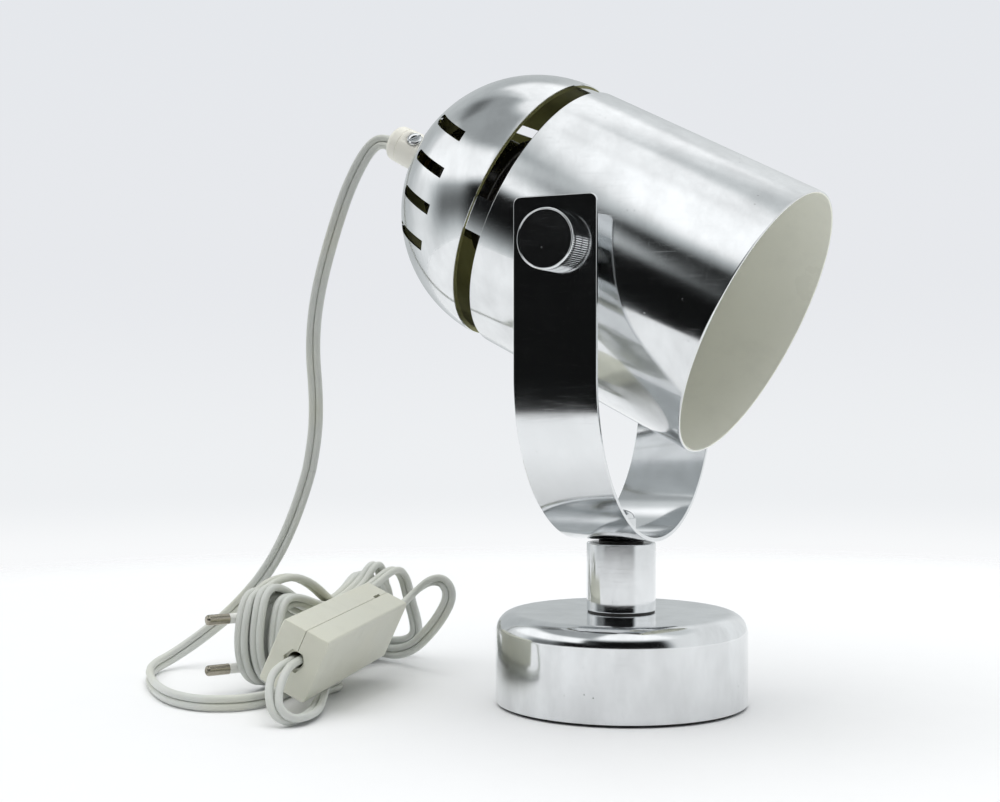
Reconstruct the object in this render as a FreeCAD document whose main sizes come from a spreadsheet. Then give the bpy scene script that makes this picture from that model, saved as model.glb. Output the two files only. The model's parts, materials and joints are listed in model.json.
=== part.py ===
"""Tabletop searchlight lamp: a chromed bullet head in a U-shaped yoke on a round weighted base.

Millimetres, +Z up.  The origin is the centre of the underside of the base.  +X is the way the
head points, and Y is the tilt axis.  Head pieces are drawn along a local Z axis that runs from
the pivot to the mouth, and are then laid over by the tilt angle.  The inline switch is drawn
flat and is then turned to the way it lies on the table.
"""
import FreeCAD, Part
import math
import os
import re

import Sketcher

V = FreeCAD.Vector
doc = FreeCAD.newDocument("searchlight_lamp")

# ----------------------------------------------------------------------------- sizes
sheet = doc.addObject("Spreadsheet::Sheet", "Sizes")

SIZES = [
    # base
    ("base_radius", 45.2, "outside radius of the drawn base cover"),
    ("base_height", 32.9, "top of the base cover above the table"),
    ("base_wall", 1.2, "sheet thickness of the base cover"),
    ("base_corner", 7.0, "outside radius of the cover's top edge"),
    ("pad_reveal", 0.8, "part of the foot pad that shows below the cover"),
    ("pad_thickness", 3.2, "thickness of the foot pad"),
    ("pad_clearance", 0.1, "radial clearance of the pad in the cover"),
    ("weight_radius", 37.0, "radius of the cast weight"),
    ("weight_clearance", 0.1, "clearance of the weight under the cover"),
    ("nut_well_radius", 10.0, "radius of the well for the foot nut"),
    ("nut_well_depth", 11.0, "depth of the well for the foot nut"),
    # tie rod and fasteners
    ("rod_radius", 2.95, "radius of the threaded tie rod"),
    ("rod_hole_clearance", 0.3, "radial clearance of holes over the tie rod"),
    ("thread_clearance", 0.03, "radial clearance of a nut's thread on its stud"),
    ("washer_radius", 7.0, "radius of the plain washers"),
    ("washer_thickness", 1.0, "thickness of the plain washers"),
    ("nut_flats", 10.0, "width across flats of the nuts"),
    ("nut_height", 5.0, "height of the nuts"),
    ("cap_nut_dome", 3.0, "height of the cap nut's dome"),
    # stem
    ("stem_radius", 12.4, "outside radius of the stem tube"),
    ("stem_wall", 1.2, "wall of the stem tube"),
    ("stem_length", 24.3, "length of the stem tube"),
    ("foot_ring_thickness", 0.5, "thickness of the ring under the stem"),
    ("foot_ring_inset", 0.35, "how far the ring stands back from the tube"),
    ("bush_height", 7.0, "height of the bushes inside the stem"),
    ("bush_clearance", 0.05, "radial clearance of the bushes in the stem"),
    ("friction_radius", 8.0, "radius of the friction washer on the stem"),
    ("friction_thickness", 0.8, "thickness of the friction washer"),
    ("seat_clearance", 0.05, "gap between faces that turn on each other"),
    # yoke
    ("yoke_width", 29.9, "width of the yoke strap"),
    ("yoke_thickness", 1.5, "thickness of the yoke strap"),
    ("yoke_half_span", 58.0, "outside half span of the yoke"),
    ("yoke_above_pivot", 15.0, "height of the arm ends above the pivot"),
    ("yoke_corner", 2.5, "corner radius of the arm ends"),
    ("saddle_lift", 0.45, "lift of the clamp washer in the curved saddle"),
    # head
    ("pivot_height", 161.0, "height of the tilt axis above the table"),
    ("tilt_angle", 27.0, "angle of the head below the horizontal"),
    ("shade_radius", 50.0, "outside radius of the shade and the dome"),
    ("shade_wall", 1.0, "wall of the shade"),
    ("mouth_reach", 57.35, "mouth of the shade in front of the pivot"),
    ("shade_back", 30.4, "rear edge of the shade behind the pivot"),
    ("gap_width", 7.3, "width of the ring of long slots"),
    ("dome_wall", 1.0, "wall of the dome"),
    ("dome_roll", -6.0, "turn of the dome about the head axis"),
    ("skirt_length", 12.0, "length of the dome's skirt inside the shade"),
    ("skirt_clearance", 0.05, "radial clearance of the skirt in the shade"),
    ("bridge_angle", 14.5, "angle of each bridge between the long slots"),
    ("vent_width", 3.8, "width of the vent slots in the dome"),
    ("vent_pitch", 13.8, "distance between neighbouring vent slots"),
    ("vent_front", 54.6, "front end of the vent slots behind the pivot"),
    ("vent_length", 19.6, "length of the vent slots along the head"),
    ("vent_depth", 36.0, "radial depth cut for the vent slots"),
    # tilt pivot
    ("stud_radius", 2.45, "radius of the knob's stud"),
    ("stud_clearance", 0.05, "radial clearance of the arm's hole over the stud"),
    ("knob_radius", 10.15, "radius of the knurled knobs"),
    ("knob_thickness", 7.5, "thickness of the knobs"),
    ("knob_chamfer", 0.7, "chamfer of the knob's face"),
    ("knob_groove_at", 4.1, "groove's distance from the knob's face"),
    ("knob_groove_width", 0.5, "width of the knob's groove"),
    ("knob_groove_depth", 0.7, "depth of the knob's groove"),
    ("spacer_radius", 6.0, "radius of the spacers between arm and shade"),
    ("insert_radius", 4.4, "barrel radius of the threaded inserts"),
    ("insert_hole_clearance", 0.1, "radial clearance of the insert in the shade"),
    ("insert_flange_radius", 7.5, "flange radius of the threaded inserts"),
    ("insert_flange", 1.2, "flange thickness of the threaded inserts"),
    ("insert_length", 6.5, "length of the inserts from the shade's outside"),
    ("insert_flange_drop", 0.8, "stand-off of the flange in the curved shade"),
    # lampholder
    ("nipple_radius", 4.95, "radius of the hollow threaded nipple"),
    ("nipple_bore", 3.4, "bore radius of the nipple"),
    ("nipple_out", 12.0, "length of the nipple outside the dome"),
    ("nipple_in", 11.0, "length of the nipple inside the dome"),
    ("lock_nut_flats", 14.0, "width across flats of the nipple's lock nut"),
    ("lock_nut_height", 3.0, "height of the nipple's lock nut"),
    ("holder_radius", 20.0, "radius of the lampholder"),
    ("holder_cap_length", 14.0, "length of the lampholder's cap"),
    ("holder_neck_radius", 9.0, "radius of the cap's neck"),
    ("holder_skirt_length", 34.0, "length of the lampholder's skirt"),
    ("holder_wall", 2.6, "wall of the lampholder"),
    ("holder_gap", 0.05, "gap between the lampholder's screwed pieces"),
    ("collar_radius", 23.5, "radius of the lampholder's collar"),
    ("collar_width", 4.0, "width of the lampholder's collar"),
    ("collar_back", 12.0, "collar's distance behind the holder's mouth"),
    ("socket_radius", 13.3, "inner radius of the screw socket"),
    ("socket_wall", 0.5, "sheet thickness of the screw socket"),
    ("socket_length", 24.0, "length of the screw socket"),
    ("socket_inset", 2.0, "screw socket's distance behind the holder's mouth"),
    ("block_thickness", 6.0, "thickness of the contact block"),
    ("contact_radius", 4.0, "radius of the centre contact"),
    ("contact_height", 0.45, "height of the centre contact"),
    # cord grip
    ("grip_radius", 7.2, "radius of the cord grip"),
    ("grip_roll", 50.0, "turn of the cord grip about the head axis"),
    ("cord_exit_offset", 1.5, "distance of the cord's hole from the grip's middle"),
    ("cord_hole_clearance", 0.1, "radial clearance of holes over the cord"),
    ("grip_length", 18.0, "length of the cord grip"),
    ("grip_rounding", 2.5, "rounding of the grip's outer end"),
    ("grip_screw_radius", 2.9, "radius of the grip screw's head"),
    ("grip_screw_at", 7.0, "grip screw's distance from the dome"),
    ("grip_screw_head", 1.6, "height of the grip screw's head"),
    ("screw_slot", 0.8, "width and depth of the screwdriver slots"),
    # inline switch
    ("switch_width", 18.6, "thickness of the closed switch housing"),
    ("switch_length", 78.0, "length of the switch housing"),
    ("switch_height", 23.8, "height of the switch housing"),
    ("switch_wall", 1.6, "wall of the switch housing"),
    ("switch_edge", 0.8, "rounding of the housing's long edges"),
    ("switch_seam", 0.1, "gap at the seam of the two halves"),
    ("switch_x", -87.8, "near lower edge of the switch along X"),
    ("switch_y", -73.0, "near lower edge of the switch along Y"),
    ("switch_z", 4.4, "near lower edge of the switch above the table"),
    ("switch_heading", 10.0, "turn of the switch about the vertical"),
    ("switch_lean", 25.5, "lean of the switch about its length"),
    ("switch_rise", 3.0, "slope of the switch along its length"),
    ("cord_port", 4.2, "corner radius of the six-sided cord ports"),
    ("rocker_length", 20.0, "length of the rocker"),
    ("rocker_width", 9.0, "width of the rocker"),
    ("rocker_proud", 1.8, "how far the rocker stands out"),
    ("rocker_clearance", 0.7, "clearance round the rocker"),
    ("rocker_pin_radius", 1.0, "radius of the rocker's pin"),
    ("rocker_bore_clearance", 0.05, "radial clearance of the rocker on its pin"),
    ("case_screw_radius", 2.6, "radius of the housing screws' heads"),
    ("case_screw_inset", 11.0, "housing screws' distance from the ends"),
    ("case_screw_drop", 5.6, "housing screws' distance below the top"),
    ("case_boss_radius", 3.2, "radius of the screw bosses in the housing"),
    ("clamp_depth", 4.0, "length of the cord clamps inside the housing"),
    ("contact_block_length", 26.0, "length of the switch's contact block"),
    # cord, hank and plug
    ("cord_radius", 2.9, "half of the flat twin cord's width"),
    ("hank_near_x", -127.0, "near end of the hank along X"),
    ("hank_near_y", -52.0, "near end of the hank along Y"),
    ("hank_heading", 1.0, "turn of the hank about the vertical"),
    ("hank_length", 104.0, "length of the wound hank"),
    ("hank_height", 43.5, "height of the wound hank"),
    ("hank_section", 4.4, "depth of the winding"),
    ("hank_thickness", 18.0, "thickness of the hank"),
    ("plug_x", -131.5, "plug's face along X"),
    ("plug_y", -41.0, "plug's face along Y"),
    ("plug_heading", 60.0, "turn of the plug about the vertical"),
    ("plug_height", 30.0, "plug's width across the pins"),
    ("plug_thickness", 13.7, "plug's thickness"),
    ("plug_length", 24.0, "length of the plug's body"),
    ("plug_back_height", 12.0, "plug's width at its cord end"),
    ("plug_back_thickness", 9.0, "plug's thickness at its cord end"),
    ("plug_tip_length", 6.0, "straight part of the plug behind its face"),
    ("plug_centre_z", 18.5, "height of the plug's middle above the table"),
    ("pin_radius", 2.0, "radius of the plug's pins"),
    ("pin_spacing", 18.6, "distance between the plug's pins"),
    ("pin_length", 19.0, "length of the pins in front of the face"),
    ("pin_sleeve", 10.0, "length of the insulated part of the pins"),
    ("pin_root", 8.0, "length of the pins inside the plug"),
    ("sleeve_radius", 1.9, "pin radius under the insulating sleeve"),
]

for row, (alias, number, note) in enumerate(SIZES, start=1):
    sheet.set("A%d" % row, note)
    sheet.set("B%d" % row, str(number))
    sheet.setAlias("B%d" % row, alias)
doc.recompute()

ALIASES = sorted((alias for alias, number, note in SIZES), key=len, reverse=True)
ALIAS_PATTERN = re.compile(r"\b(" + "|".join(ALIASES) + r")\b")


def formula(text):
    """A formula in plain size names, as the document's expression engine reads it."""
    return ALIAS_PATTERN.sub(r"Sizes.\1", text)


def value(text):
    """The present value of a formula in millimetres or degrees."""
    return float(sheet.evalExpression(formula(text)))


def bind(thing, **formulas):
    """Bind properties to formulas; base_x, base_y and base_z stand for the placement's base."""
    for name, text in formulas.items():
        path = name
        if name in ("base_x", "base_y", "base_z"):
            path = ".Placement.Base." + name[-1]
        thing.setExpression(path, formula(text))
    return thing


# ----------------------------------------------------------------------------- building blocks
ALONG = {
    "+z": FreeCAD.Rotation(),
    "-z": FreeCAD.Rotation(V(1, 0, 0), 180),
    "+y": FreeCAD.Rotation(V(1, 0, 0), -90),
    "-y": FreeCAD.Rotation(V(1, 0, 0), 90),
    "+x": FreeCAD.Rotation(V(0, 1, 0), 90),
}
HEAD_ROTATION = FreeCAD.Rotation(V(0, 1, 0), 90 + value("tilt_angle"))
sub_parts = []


def cylinder(name, radius, height, at=("0", "0", "0"), along="+z", **more):
    made = doc.addObject("Part::Cylinder", name)
    made.Placement = FreeCAD.Placement(V(), ALONG[along])
    return bind(made, Radius=radius, Height=height, base_x=at[0], base_y=at[1], base_z=at[2], **more)


def box(name, size, corner):
    made = doc.addObject("Part::Box", name)
    bind(made, Length=size[0], Width=size[1], Height=size[2])
    return bind(made, base_x=corner[0], base_y=corner[1], base_z=corner[2])


def hexagon(name, corner_radius, height, at=("0", "0", "0"), along="+z"):
    made = doc.addObject("Part::Prism", name)
    made.Polygon = 6
    made.Placement = FreeCAD.Placement(V(), ALONG[along])
    return bind(made, Circumradius=corner_radius, Height=height, base_x=at[0], base_y=at[1], base_z=at[2])


def cut(name, body, *tools):
    """Cut each tool from the body in turn."""
    for number, tool in enumerate(tools):
        made = doc.addObject("Part::Cut", "%s_cut_%d" % (name, number))
        made.Base = body
        made.Tool = tool
        body = made
    return body


def fuse(name, *pieces):
    made = doc.addObject("Part::MultiFuse", name + "_fused")
    made.Shapes = list(pieces)
    made.Refine = True
    return made


def group(name, *pieces):
    """Several separate solids that share one node."""
    made = doc.addObject("Part::Compound", name + "_group")
    made.Links = list(pieces)
    return made


def sub_part(name, thing, rotation=None, **base):
    """Name a finished piece, and lay it in the lamp's own frame."""
    thing.Label = name
    if thing.Label != name:
        raise RuntimeError("the name %s is taken" % name)
    if rotation is not None:
        thing.Placement = FreeCAD.Placement(V(), rotation)
    if base:
        bind(thing, **base)
    sub_parts.append(thing)
    return thing


def head_part(name, thing):
    """A piece drawn along the head's axis, from the pivot to the mouth."""
    return sub_part(name, thing, HEAD_ROTATION, base_z="pivot_height")


def plane_of(body, role):
    return [item for item in body.Origin.OriginFeatures if item.Role == role][0]


def corner_sketch(body, name, corners, role="XZ_Plane"):
    """A closed outline of straight edges; each corner is two formulas in the sketch's axes."""
    sketch = body.newObject("Sketcher::SketchObject", name)
    sketch.AttachmentSupport = [(plane_of(body, role), "")]
    sketch.MapMode = "FlatFace"
    places = [V(value(x), value(y), 0) for x, y in corners]
    for number, place in enumerate(places):
        sketch.addGeometry(Part.LineSegment(place, places[(number + 1) % len(places)]), False)
    for number in range(len(places)):
        sketch.addConstraint(Sketcher.Constraint("Coincident", number, 2, (number + 1) % len(places), 1))
    for number, (x, y) in enumerate(corners):
        for kind, text, axis in (("DistanceX", x, -2), ("DistanceY", y, -1)):
            if text == "0":
                sketch.addConstraint(Sketcher.Constraint("PointOnObject", number, 1, axis))
                continue
            index = sketch.addConstraint(Sketcher.Constraint(kind, -1, 1, number, 1, value(text)))
            sketch.setExpression("Constraints[%d]" % index, formula(text))
    return sketch


def turned(name, outline):
    """A piece turned on a lathe: the outline is radius and height formulas, spun about Z."""
    body = doc.addObject("PartDesign::Body", name + "_body")
    sketch = corner_sketch(body, name + "_outline", outline)
    spin = body.newObject("PartDesign::Revolution", name + "_turn")
    spin.Profile = sketch
    spin.ReferenceAxis = (sketch, ["V_Axis"])
    spin.Angle = 360
    doc.recompute()
    return body


def ring(name, outside, inside, bottom, top):
    return turned(name, [(inside, bottom), (outside, bottom), (outside, top), (inside, top)])


def padded(name, outline, height, role="XY_Plane"):
    """A flat outline raised by a height."""
    body = doc.addObject("PartDesign::Body", name + "_body")
    sketch = corner_sketch(body, name + "_outline", outline, role)
    pad = body.newObject("PartDesign::Pad", name + "_pad")
    pad.Profile = sketch
    bind(pad, Length=height)
    doc.recompute()
    return body


def round_edges(body, name, radius, wanted):
    """Fillet the edges of the body's tip that the test picks."""
    tip = body.Tip
    picked = ["Edge%d" % (n + 1) for n, edge in enumerate(tip.Shape.Edges) if wanted(edge)]
    if not picked:
        raise RuntimeError("no edge to round on " + name)
    fillet = body.newObject("PartDesign::Fillet", name)
    fillet.Base = (tip, picked)
    bind(fillet, Radius=radius)
    body.Tip = fillet
    doc.recompute()
    return body


def near(a, b, tolerance=0.01):
    return abs(a - b) < tolerance


def is_circle_at(edge, radius, height):
    """Whether the edge is a full circle of this radius about Z at this height."""
    curve = edge.Curve
    if not isinstance(curve, Part.Circle):
        return False
    return near(curve.Radius, radius) and near(curve.Center.z, height) and near(curve.Center.x, 0)


# ----------------------------------------------------------------------------- base
inner = "base_radius - base_wall"
under = "base_height - base_wall"
cover = turned("base_cover", [
    ("rod_radius + rod_hole_clearance", under), (inner, under), (inner, "pad_reveal"),
    ("base_radius", "pad_reveal"), ("base_radius", "base_height"),
    ("rod_radius + rod_hole_clearance", "base_height"),
])
round_edges(cover, "cover_top_edge", "base_corner",
            lambda edge: is_circle_at(edge, value("base_radius"), value("base_height")))
round_edges(cover, "cover_inner_edge", "base_corner - base_wall",
            lambda edge: is_circle_at(edge, value(inner), value(under)))
sub_part("base_cover", cover)

sub_part("foot_pad", cylinder("foot_pad_disc", inner + " - pad_clearance", "pad_thickness"))

weight_bottom = "pad_thickness + weight_clearance"
well_top = weight_bottom + " + nut_well_depth"
weight = turned("base_weight", [
    ("nut_well_radius", weight_bottom), ("weight_radius", weight_bottom),
    ("weight_radius", under + " - weight_clearance"),
    ("rod_radius + rod_hole_clearance", under + " - weight_clearance"),
    ("rod_radius + rod_hole_clearance", well_top), ("nut_well_radius", well_top),
])
sub_part("base_weight", weight)


def washer(name, bottom, radius="washer_radius", thickness="washer_thickness"):
    return ring(name, radius, "rod_radius + rod_hole_clearance", bottom, bottom + " + " + thickness)


def nut(name, bottom):
    blank = hexagon(name + "_blank", "nut_flats / sqrt(3)", "nut_height", ("0", "0", bottom))
    hole = cylinder(name + "_hole", "rod_radius + thread_clearance", "nut_height", ("0", "0", bottom))
    return cut(name, blank, hole)


foot_washer_bottom = well_top + " - washer_thickness"
foot_nut_bottom = foot_washer_bottom + " - nut_height"
sub_part("foot_washer", washer("foot_washer", foot_washer_bottom))
sub_part("foot_nut", nut("foot_nut", foot_nut_bottom))

# ----------------------------------------------------------------------------- stem
stem_foot = "base_height + foot_ring_thickness"
stem_top = stem_foot + " + stem_length"
stem_bore = "stem_radius - stem_wall"
sub_part("stem_foot_ring", ring("stem_foot_ring", "stem_radius - foot_ring_inset",
                                "rod_radius + rod_hole_clearance", "base_height", stem_foot))
stem = ring("stem_tube", "stem_radius", stem_bore, stem_foot, stem_top)
sub_part("stem_tube", stem)
for name, bottom in (("stem_lower_bush", stem_foot), ("stem_upper_bush", stem_top + " - bush_height")):
    sub_part(name, washer(name, bottom, stem_bore + " - bush_clearance", "bush_height"))
sub_part("friction_washer", washer("friction_washer", stem_top, "friction_radius", "friction_thickness"))

# ----------------------------------------------------------------------------- yoke
yoke_bottom = stem_top + " + friction_thickness + seat_clearance"
saddle_centre = yoke_bottom + " + yoke_half_span"
yoke_top = "pivot_height + yoke_above_pivot"


def strap_sketch(body):
    """The U of the strap seen along X: two arms and two half circles about one centre."""
    sketch = body.newObject("Sketcher::SketchObject", "strap_outline")
    sketch.AttachmentSupport = [(plane_of(body, "YZ_Plane"), "")]
    sketch.MapMode = "FlatFace"
    outer = value("yoke_half_span")
    inside = value("yoke_half_span - yoke_thickness")
    middle = value(saddle_centre)
    top = value(yoke_top)
    centre = V(0, middle, 0)
    normal = V(0, 0, 1)
    outer_arc = Part.ArcOfCircle(Part.Circle(centre, normal, outer), math.pi, 2 * math.pi)
    inner_arc = Part.ArcOfCircle(Part.Circle(centre, normal, inside), math.pi, 2 * math.pi)
    pieces = [
        Part.LineSegment(V(-outer, top, 0), V(-outer, middle, 0)),
        outer_arc,
        Part.LineSegment(V(outer, middle, 0), V(outer, top, 0)),
        Part.LineSegment(V(outer, top, 0), V(inside, top, 0)),
        Part.LineSegment(V(inside, top, 0), V(inside, middle, 0)),
        inner_arc,
        Part.LineSegment(V(-inside, middle, 0), V(-inside, top, 0)),
        Part.LineSegment(V(-inside, top, 0), V(-outer, top, 0)),
    ]
    for piece in pieces:
        sketch.addGeometry(piece, False)
    rules = [
        ("Tangent", 0, 2, 1, 1), ("Tangent", 1, 2, 2, 1), ("Coincident", 2, 2, 3, 1),
        ("Coincident", 3, 2, 4, 1), ("Tangent", 4, 2, 5, 2), ("Tangent", 5, 1, 6, 1),
        ("Coincident", 6, 2, 7, 1), ("Coincident", 7, 2, 0, 1), ("Coincident", 1, 3, 5, 3),
        ("PointOnObject", 1, 3, -2), ("Vertical", 0), ("Horizontal", 3), ("Horizontal", 7),
        ("Horizontal", 0, 1, 2, 2),
    ]
    for rule in rules:
        sketch.addConstraint(Sketcher.Constraint(*rule))
    for number, text in ((1, "yoke_half_span"), (5, "yoke_half_span - yoke_thickness")):
        index = sketch.addConstraint(Sketcher.Constraint("Radius", number, value(text)))
        sketch.setExpression("Constraints[%d]" % index, formula(text))
    for number, place, text in ((1, 3, saddle_centre), (2, 2, yoke_top)):
        index = sketch.addConstraint(Sketcher.Constraint("DistanceY", -1, 1, number, place, value(text)))
        sketch.setExpression("Constraints[%d]" % index, formula(text))
    return sketch


def is_arm_corner(edge):
    """Whether the edge is one of the four corners of the arm ends, which run along Y."""
    box_of = edge.BoundBox
    at_top = near(box_of.ZMin, value(yoke_top)) and near(box_of.ZMax, value(yoke_top))
    return at_top and near(box_of.YLength, value("yoke_thickness")) and near(box_of.XLength, 0)


strap = doc.addObject("PartDesign::Body", "yoke_strap_body")
strap_pad = strap.newObject("PartDesign::Pad", "strap_pad")
strap_pad.Profile = strap_sketch(strap)
strap_pad.Midplane = True
bind(strap_pad, Length="yoke_width")
strap.Tip = strap_pad
doc.recompute()
round_edges(strap, "arm_corners", "yoke_corner", is_arm_corner)
arm_hole = cylinder("arm_holes", "stud_radius + stud_clearance", "2 * yoke_half_span + 2 * yoke_thickness",
                    ("0", "-yoke_half_span - yoke_thickness", "pivot_height"), "+y")
rod_hole = cylinder("yoke_rod_hole", "rod_radius + rod_hole_clearance", "4 * yoke_thickness",
                    ("0", "0", yoke_bottom + " - yoke_thickness"))
sub_part("yoke_strap", cut("yoke_strap", strap, arm_hole, rod_hole))

saddle_seat = yoke_bottom + " + yoke_thickness + saddle_lift"
clamp_top = saddle_seat + " + washer_thickness"
sub_part("clamp_washer", washer("clamp_washer", saddle_seat))

cap_top = clamp_top + " + nut_height"
cap_blank = hexagon("cap_nut_blank", "nut_flats / sqrt(3)", "nut_height", ("0", "0", clamp_top))
cap_dome = turned("cap_nut_dome", [
    ("0", cap_top), ("nut_flats / 2", cap_top), ("nut_flats / 2 - cap_nut_dome / 2", cap_top + " + cap_nut_dome"),
    ("0", cap_top + " + cap_nut_dome"),
])
cap_hole = cylinder("cap_nut_hole", "rod_radius + thread_clearance", "nut_height", ("0", "0", clamp_top))
sub_part("cap_nut", cut("cap_nut", fuse("cap_nut", cap_blank, cap_dome), cap_hole))

rod_bottom = foot_nut_bottom + " - washer_thickness"
sub_part("tie_rod", cylinder("tie_rod", "rod_radius", cap_top + " - (" + rod_bottom + ") - seat_clearance",
                             ("0", "0", rod_bottom)))

# ----------------------------------------------------------------------------- head shells
shade_bore = "shade_radius - shade_wall"
shade = ring("shade_tube", "shade_radius", shade_bore, "-shade_back", "mouth_reach")
insert_holes = cylinder("insert_holes", "insert_radius + insert_hole_clearance", "2 * shade_radius + 2 * shade_wall",
                        ("0", "-shade_radius - shade_wall", "0"), "+y")
head_part("shade_tube", cut("shade_tube", shade, insert_holes))

dome_edge = "-shade_back - gap_width"
skirt_radius = shade_bore + " - skirt_clearance"
skirt_bore = skirt_radius + " - dome_wall"
dome_outer = doc.addObject("Part::Sphere", "dome_outer")
dome_inner = doc.addObject("Part::Sphere", "dome_inner")
for ball, radius in ((dome_outer, "shade_radius"), (dome_inner, "shade_radius - dome_wall")):
    ball.Angle1 = -90
    bind(ball, Radius=radius, base_z=dome_edge)
dome_outer.Angle2 = 0
step = ring("dome_step", "shade_radius - dome_wall / 2", skirt_bore, dome_edge + " - dome_wall", dome_edge)
skirt = ring("dome_skirt", skirt_radius, skirt_bore, dome_edge + " - dome_wall", "-shade_back + skirt_length")
shell = cut("dome_bowl", dome_outer, dome_inner)
dome = fuse("dome", shell, step, skirt)

cutters = []
for number in range(4):
    turn = 90 * number
    sector = doc.addObject("Part::Cylinder", "long_slot_%d" % number)
    bind(sector, Radius="shade_radius + dome_wall", Height="gap_width", Angle="90 - bridge_angle", base_z=dome_edge)
    start = "%d + bridge_angle / 2 - dome_roll" % turn
    sector.Placement = FreeCAD.Placement(V(), FreeCAD.Rotation(V(0, 0, 1), value(start)))
    bind(sector, base_z=dome_edge)
    sector.setExpression(".Placement.Rotation.Angle", formula("(" + start + ") * 1 deg"))
    cutters.append(sector)
vents = []
for side in (90, 270):
    for number in (-1.5, -0.5, 0.5, 1.5):
        vent = box("vent_%d_%d" % (side, 2 * number + 3), ("vent_depth", "vent_width", "vent_length"),
                   ("0", "0", "-vent_front - vent_length"))
        turn = "%d - dome_roll" % side
        vent.Placement = FreeCAD.Placement(V(), FreeCAD.Rotation(V(0, 0, 1), value(turn)))
        vent.setExpression(".Placement.Rotation.Angle", formula("(" + turn + ") * 1 deg"))
        reach = "(shade_radius + dome_wall - vent_depth)"
        offset = "(%s * vent_pitch - vent_width / 2)" % number
        bind(vent, base_x="%s * cos(%s) - %s * sin(%s)" % (reach, turn, offset, turn),
             base_y="%s * sin(%s) + %s * cos(%s)" % (reach, turn, offset, turn),
             base_z="-vent_front - vent_length")
        vents.append(vent)
pole_hole = cylinder("dome_pole_hole", "nipple_radius + thread_clearance", "4 * dome_wall",
                     ("0", "0", dome_edge + " - shade_radius - dome_wall"))
head_part("dome_shell", cut("dome_shell", dome, group("long_slots", *cutters), group("vents", *vents), pole_hole))

# ----------------------------------------------------------------------------- tilt pivot
for side, sign in (("near", -1), ("far", 1)):
    outward = "-y" if sign < 0 else "+y"
    arm_face = "%d * yoke_half_span" % sign
    knob_foot = "%d * seat_clearance" % sign
    groove_bottom = "knob_thickness - knob_groove_at - knob_groove_width"
    groove_radius = "knob_radius - knob_groove_depth"
    stud_end = "shade_radius - insert_length - yoke_half_span"
    knob = turned("knob_" + side, [
        ("0", stud_end), ("stud_radius", stud_end), ("stud_radius", "0"),
        ("knob_radius", "0"), ("knob_radius", groove_bottom), (groove_radius, groove_bottom),
        (groove_radius, groove_bottom + " + knob_groove_width"),
        ("knob_radius", groove_bottom + " + knob_groove_width"),
        ("knob_radius", "knob_thickness - knob_chamfer"), ("knob_radius - knob_chamfer", "knob_thickness"),
        ("0", "knob_thickness"),
    ])
    sub_part("knob_" + side, knob, ALONG[outward], base_y=arm_face + " + " + knob_foot, base_z="pivot_height")

    spacer = ring("spacer_" + side, "spacer_radius", "stud_radius + stud_clearance",
                  "shade_radius + seat_clearance", "yoke_half_span - yoke_thickness - seat_clearance")
    sub_part("spacer_" + side, spacer, ALONG[outward], base_z="pivot_height")

    flange_top = shade_bore + " - insert_flange_drop"
    insert = turned("insert_" + side, [
        ("stud_radius + thread_clearance", "shade_radius - insert_length"),
        ("insert_radius", "shade_radius - insert_length"),
        ("insert_radius", flange_top + " - insert_flange"), ("insert_flange_radius", flange_top + " - insert_flange"),
        ("insert_flange_radius", flange_top), ("insert_radius", flange_top), ("insert_radius", "shade_radius"),
        ("stud_radius + thread_clearance", "shade_radius"),
    ])
    sub_part("threaded_insert_" + side, insert, ALONG[outward], base_z="pivot_height")

# ----------------------------------------------------------------------------- lampholder
pole = "-shade_back - gap_width - shade_radius"
pole_inside = pole + " + dome_wall"
nipple = ring("nipple", "nipple_radius", "nipple_bore", pole + " - nipple_out", pole + " + nipple_in")
head_part("threaded_nipple", nipple)

lock_blank = hexagon("lock_nut_blank", "lock_nut_flats / sqrt(3)", "lock_nut_height", ("0", "0", pole_inside + " + dome_wall"))
lock_hole = cylinder("lock_nut_hole", "nipple_radius + thread_clearance", "lock_nut_height",
                     ("0", "0", pole_inside + " + dome_wall"))
head_part("lock_nut", cut("lock_nut", lock_blank, lock_hole))

cap_back = pole_inside + " + dome_wall + lock_nut_height + holder_gap"
cap_front = cap_back + " + holder_cap_length"
holder_front = cap_front + " + holder_gap + holder_skirt_length"
holder_cap = turned("holder_cap", [
    ("nipple_radius + thread_clearance", cap_back), ("holder_neck_radius", cap_back),
    ("holder_radius", cap_back + " + holder_cap_length / 2"), ("holder_radius", cap_front),
    ("holder_radius - holder_wall", cap_front),
    ("holder_radius - holder_wall", cap_back + " + holder_cap_length / 2"),
    ("holder_neck_radius", cap_back + " + holder_wall"),
    ("nipple_radius + thread_clearance", cap_back + " + holder_wall"),
])
head_part("lampholder_cap", holder_cap)

collar_at = holder_front + " - collar_back"
skirt_bottom = cap_front + " + holder_gap"
socket_hold = "socket_radius + socket_wall + holder_gap"
ledge = holder_front + " - socket_inset"
holder = turned("holder_skirt", [
    ("holder_radius - holder_wall", skirt_bottom), ("holder_radius", skirt_bottom),
    ("holder_radius", collar_at + " - collar_width"), ("collar_radius", collar_at + " - collar_width"),
    ("collar_radius", collar_at), ("holder_radius - holder_wall / 2", collar_at),
    ("holder_radius - holder_wall / 2", holder_front), (socket_hold, holder_front), (socket_hold, collar_at),
    ("holder_radius - holder_wall", collar_at),
])
head_part("lampholder_skirt", holder)

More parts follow.
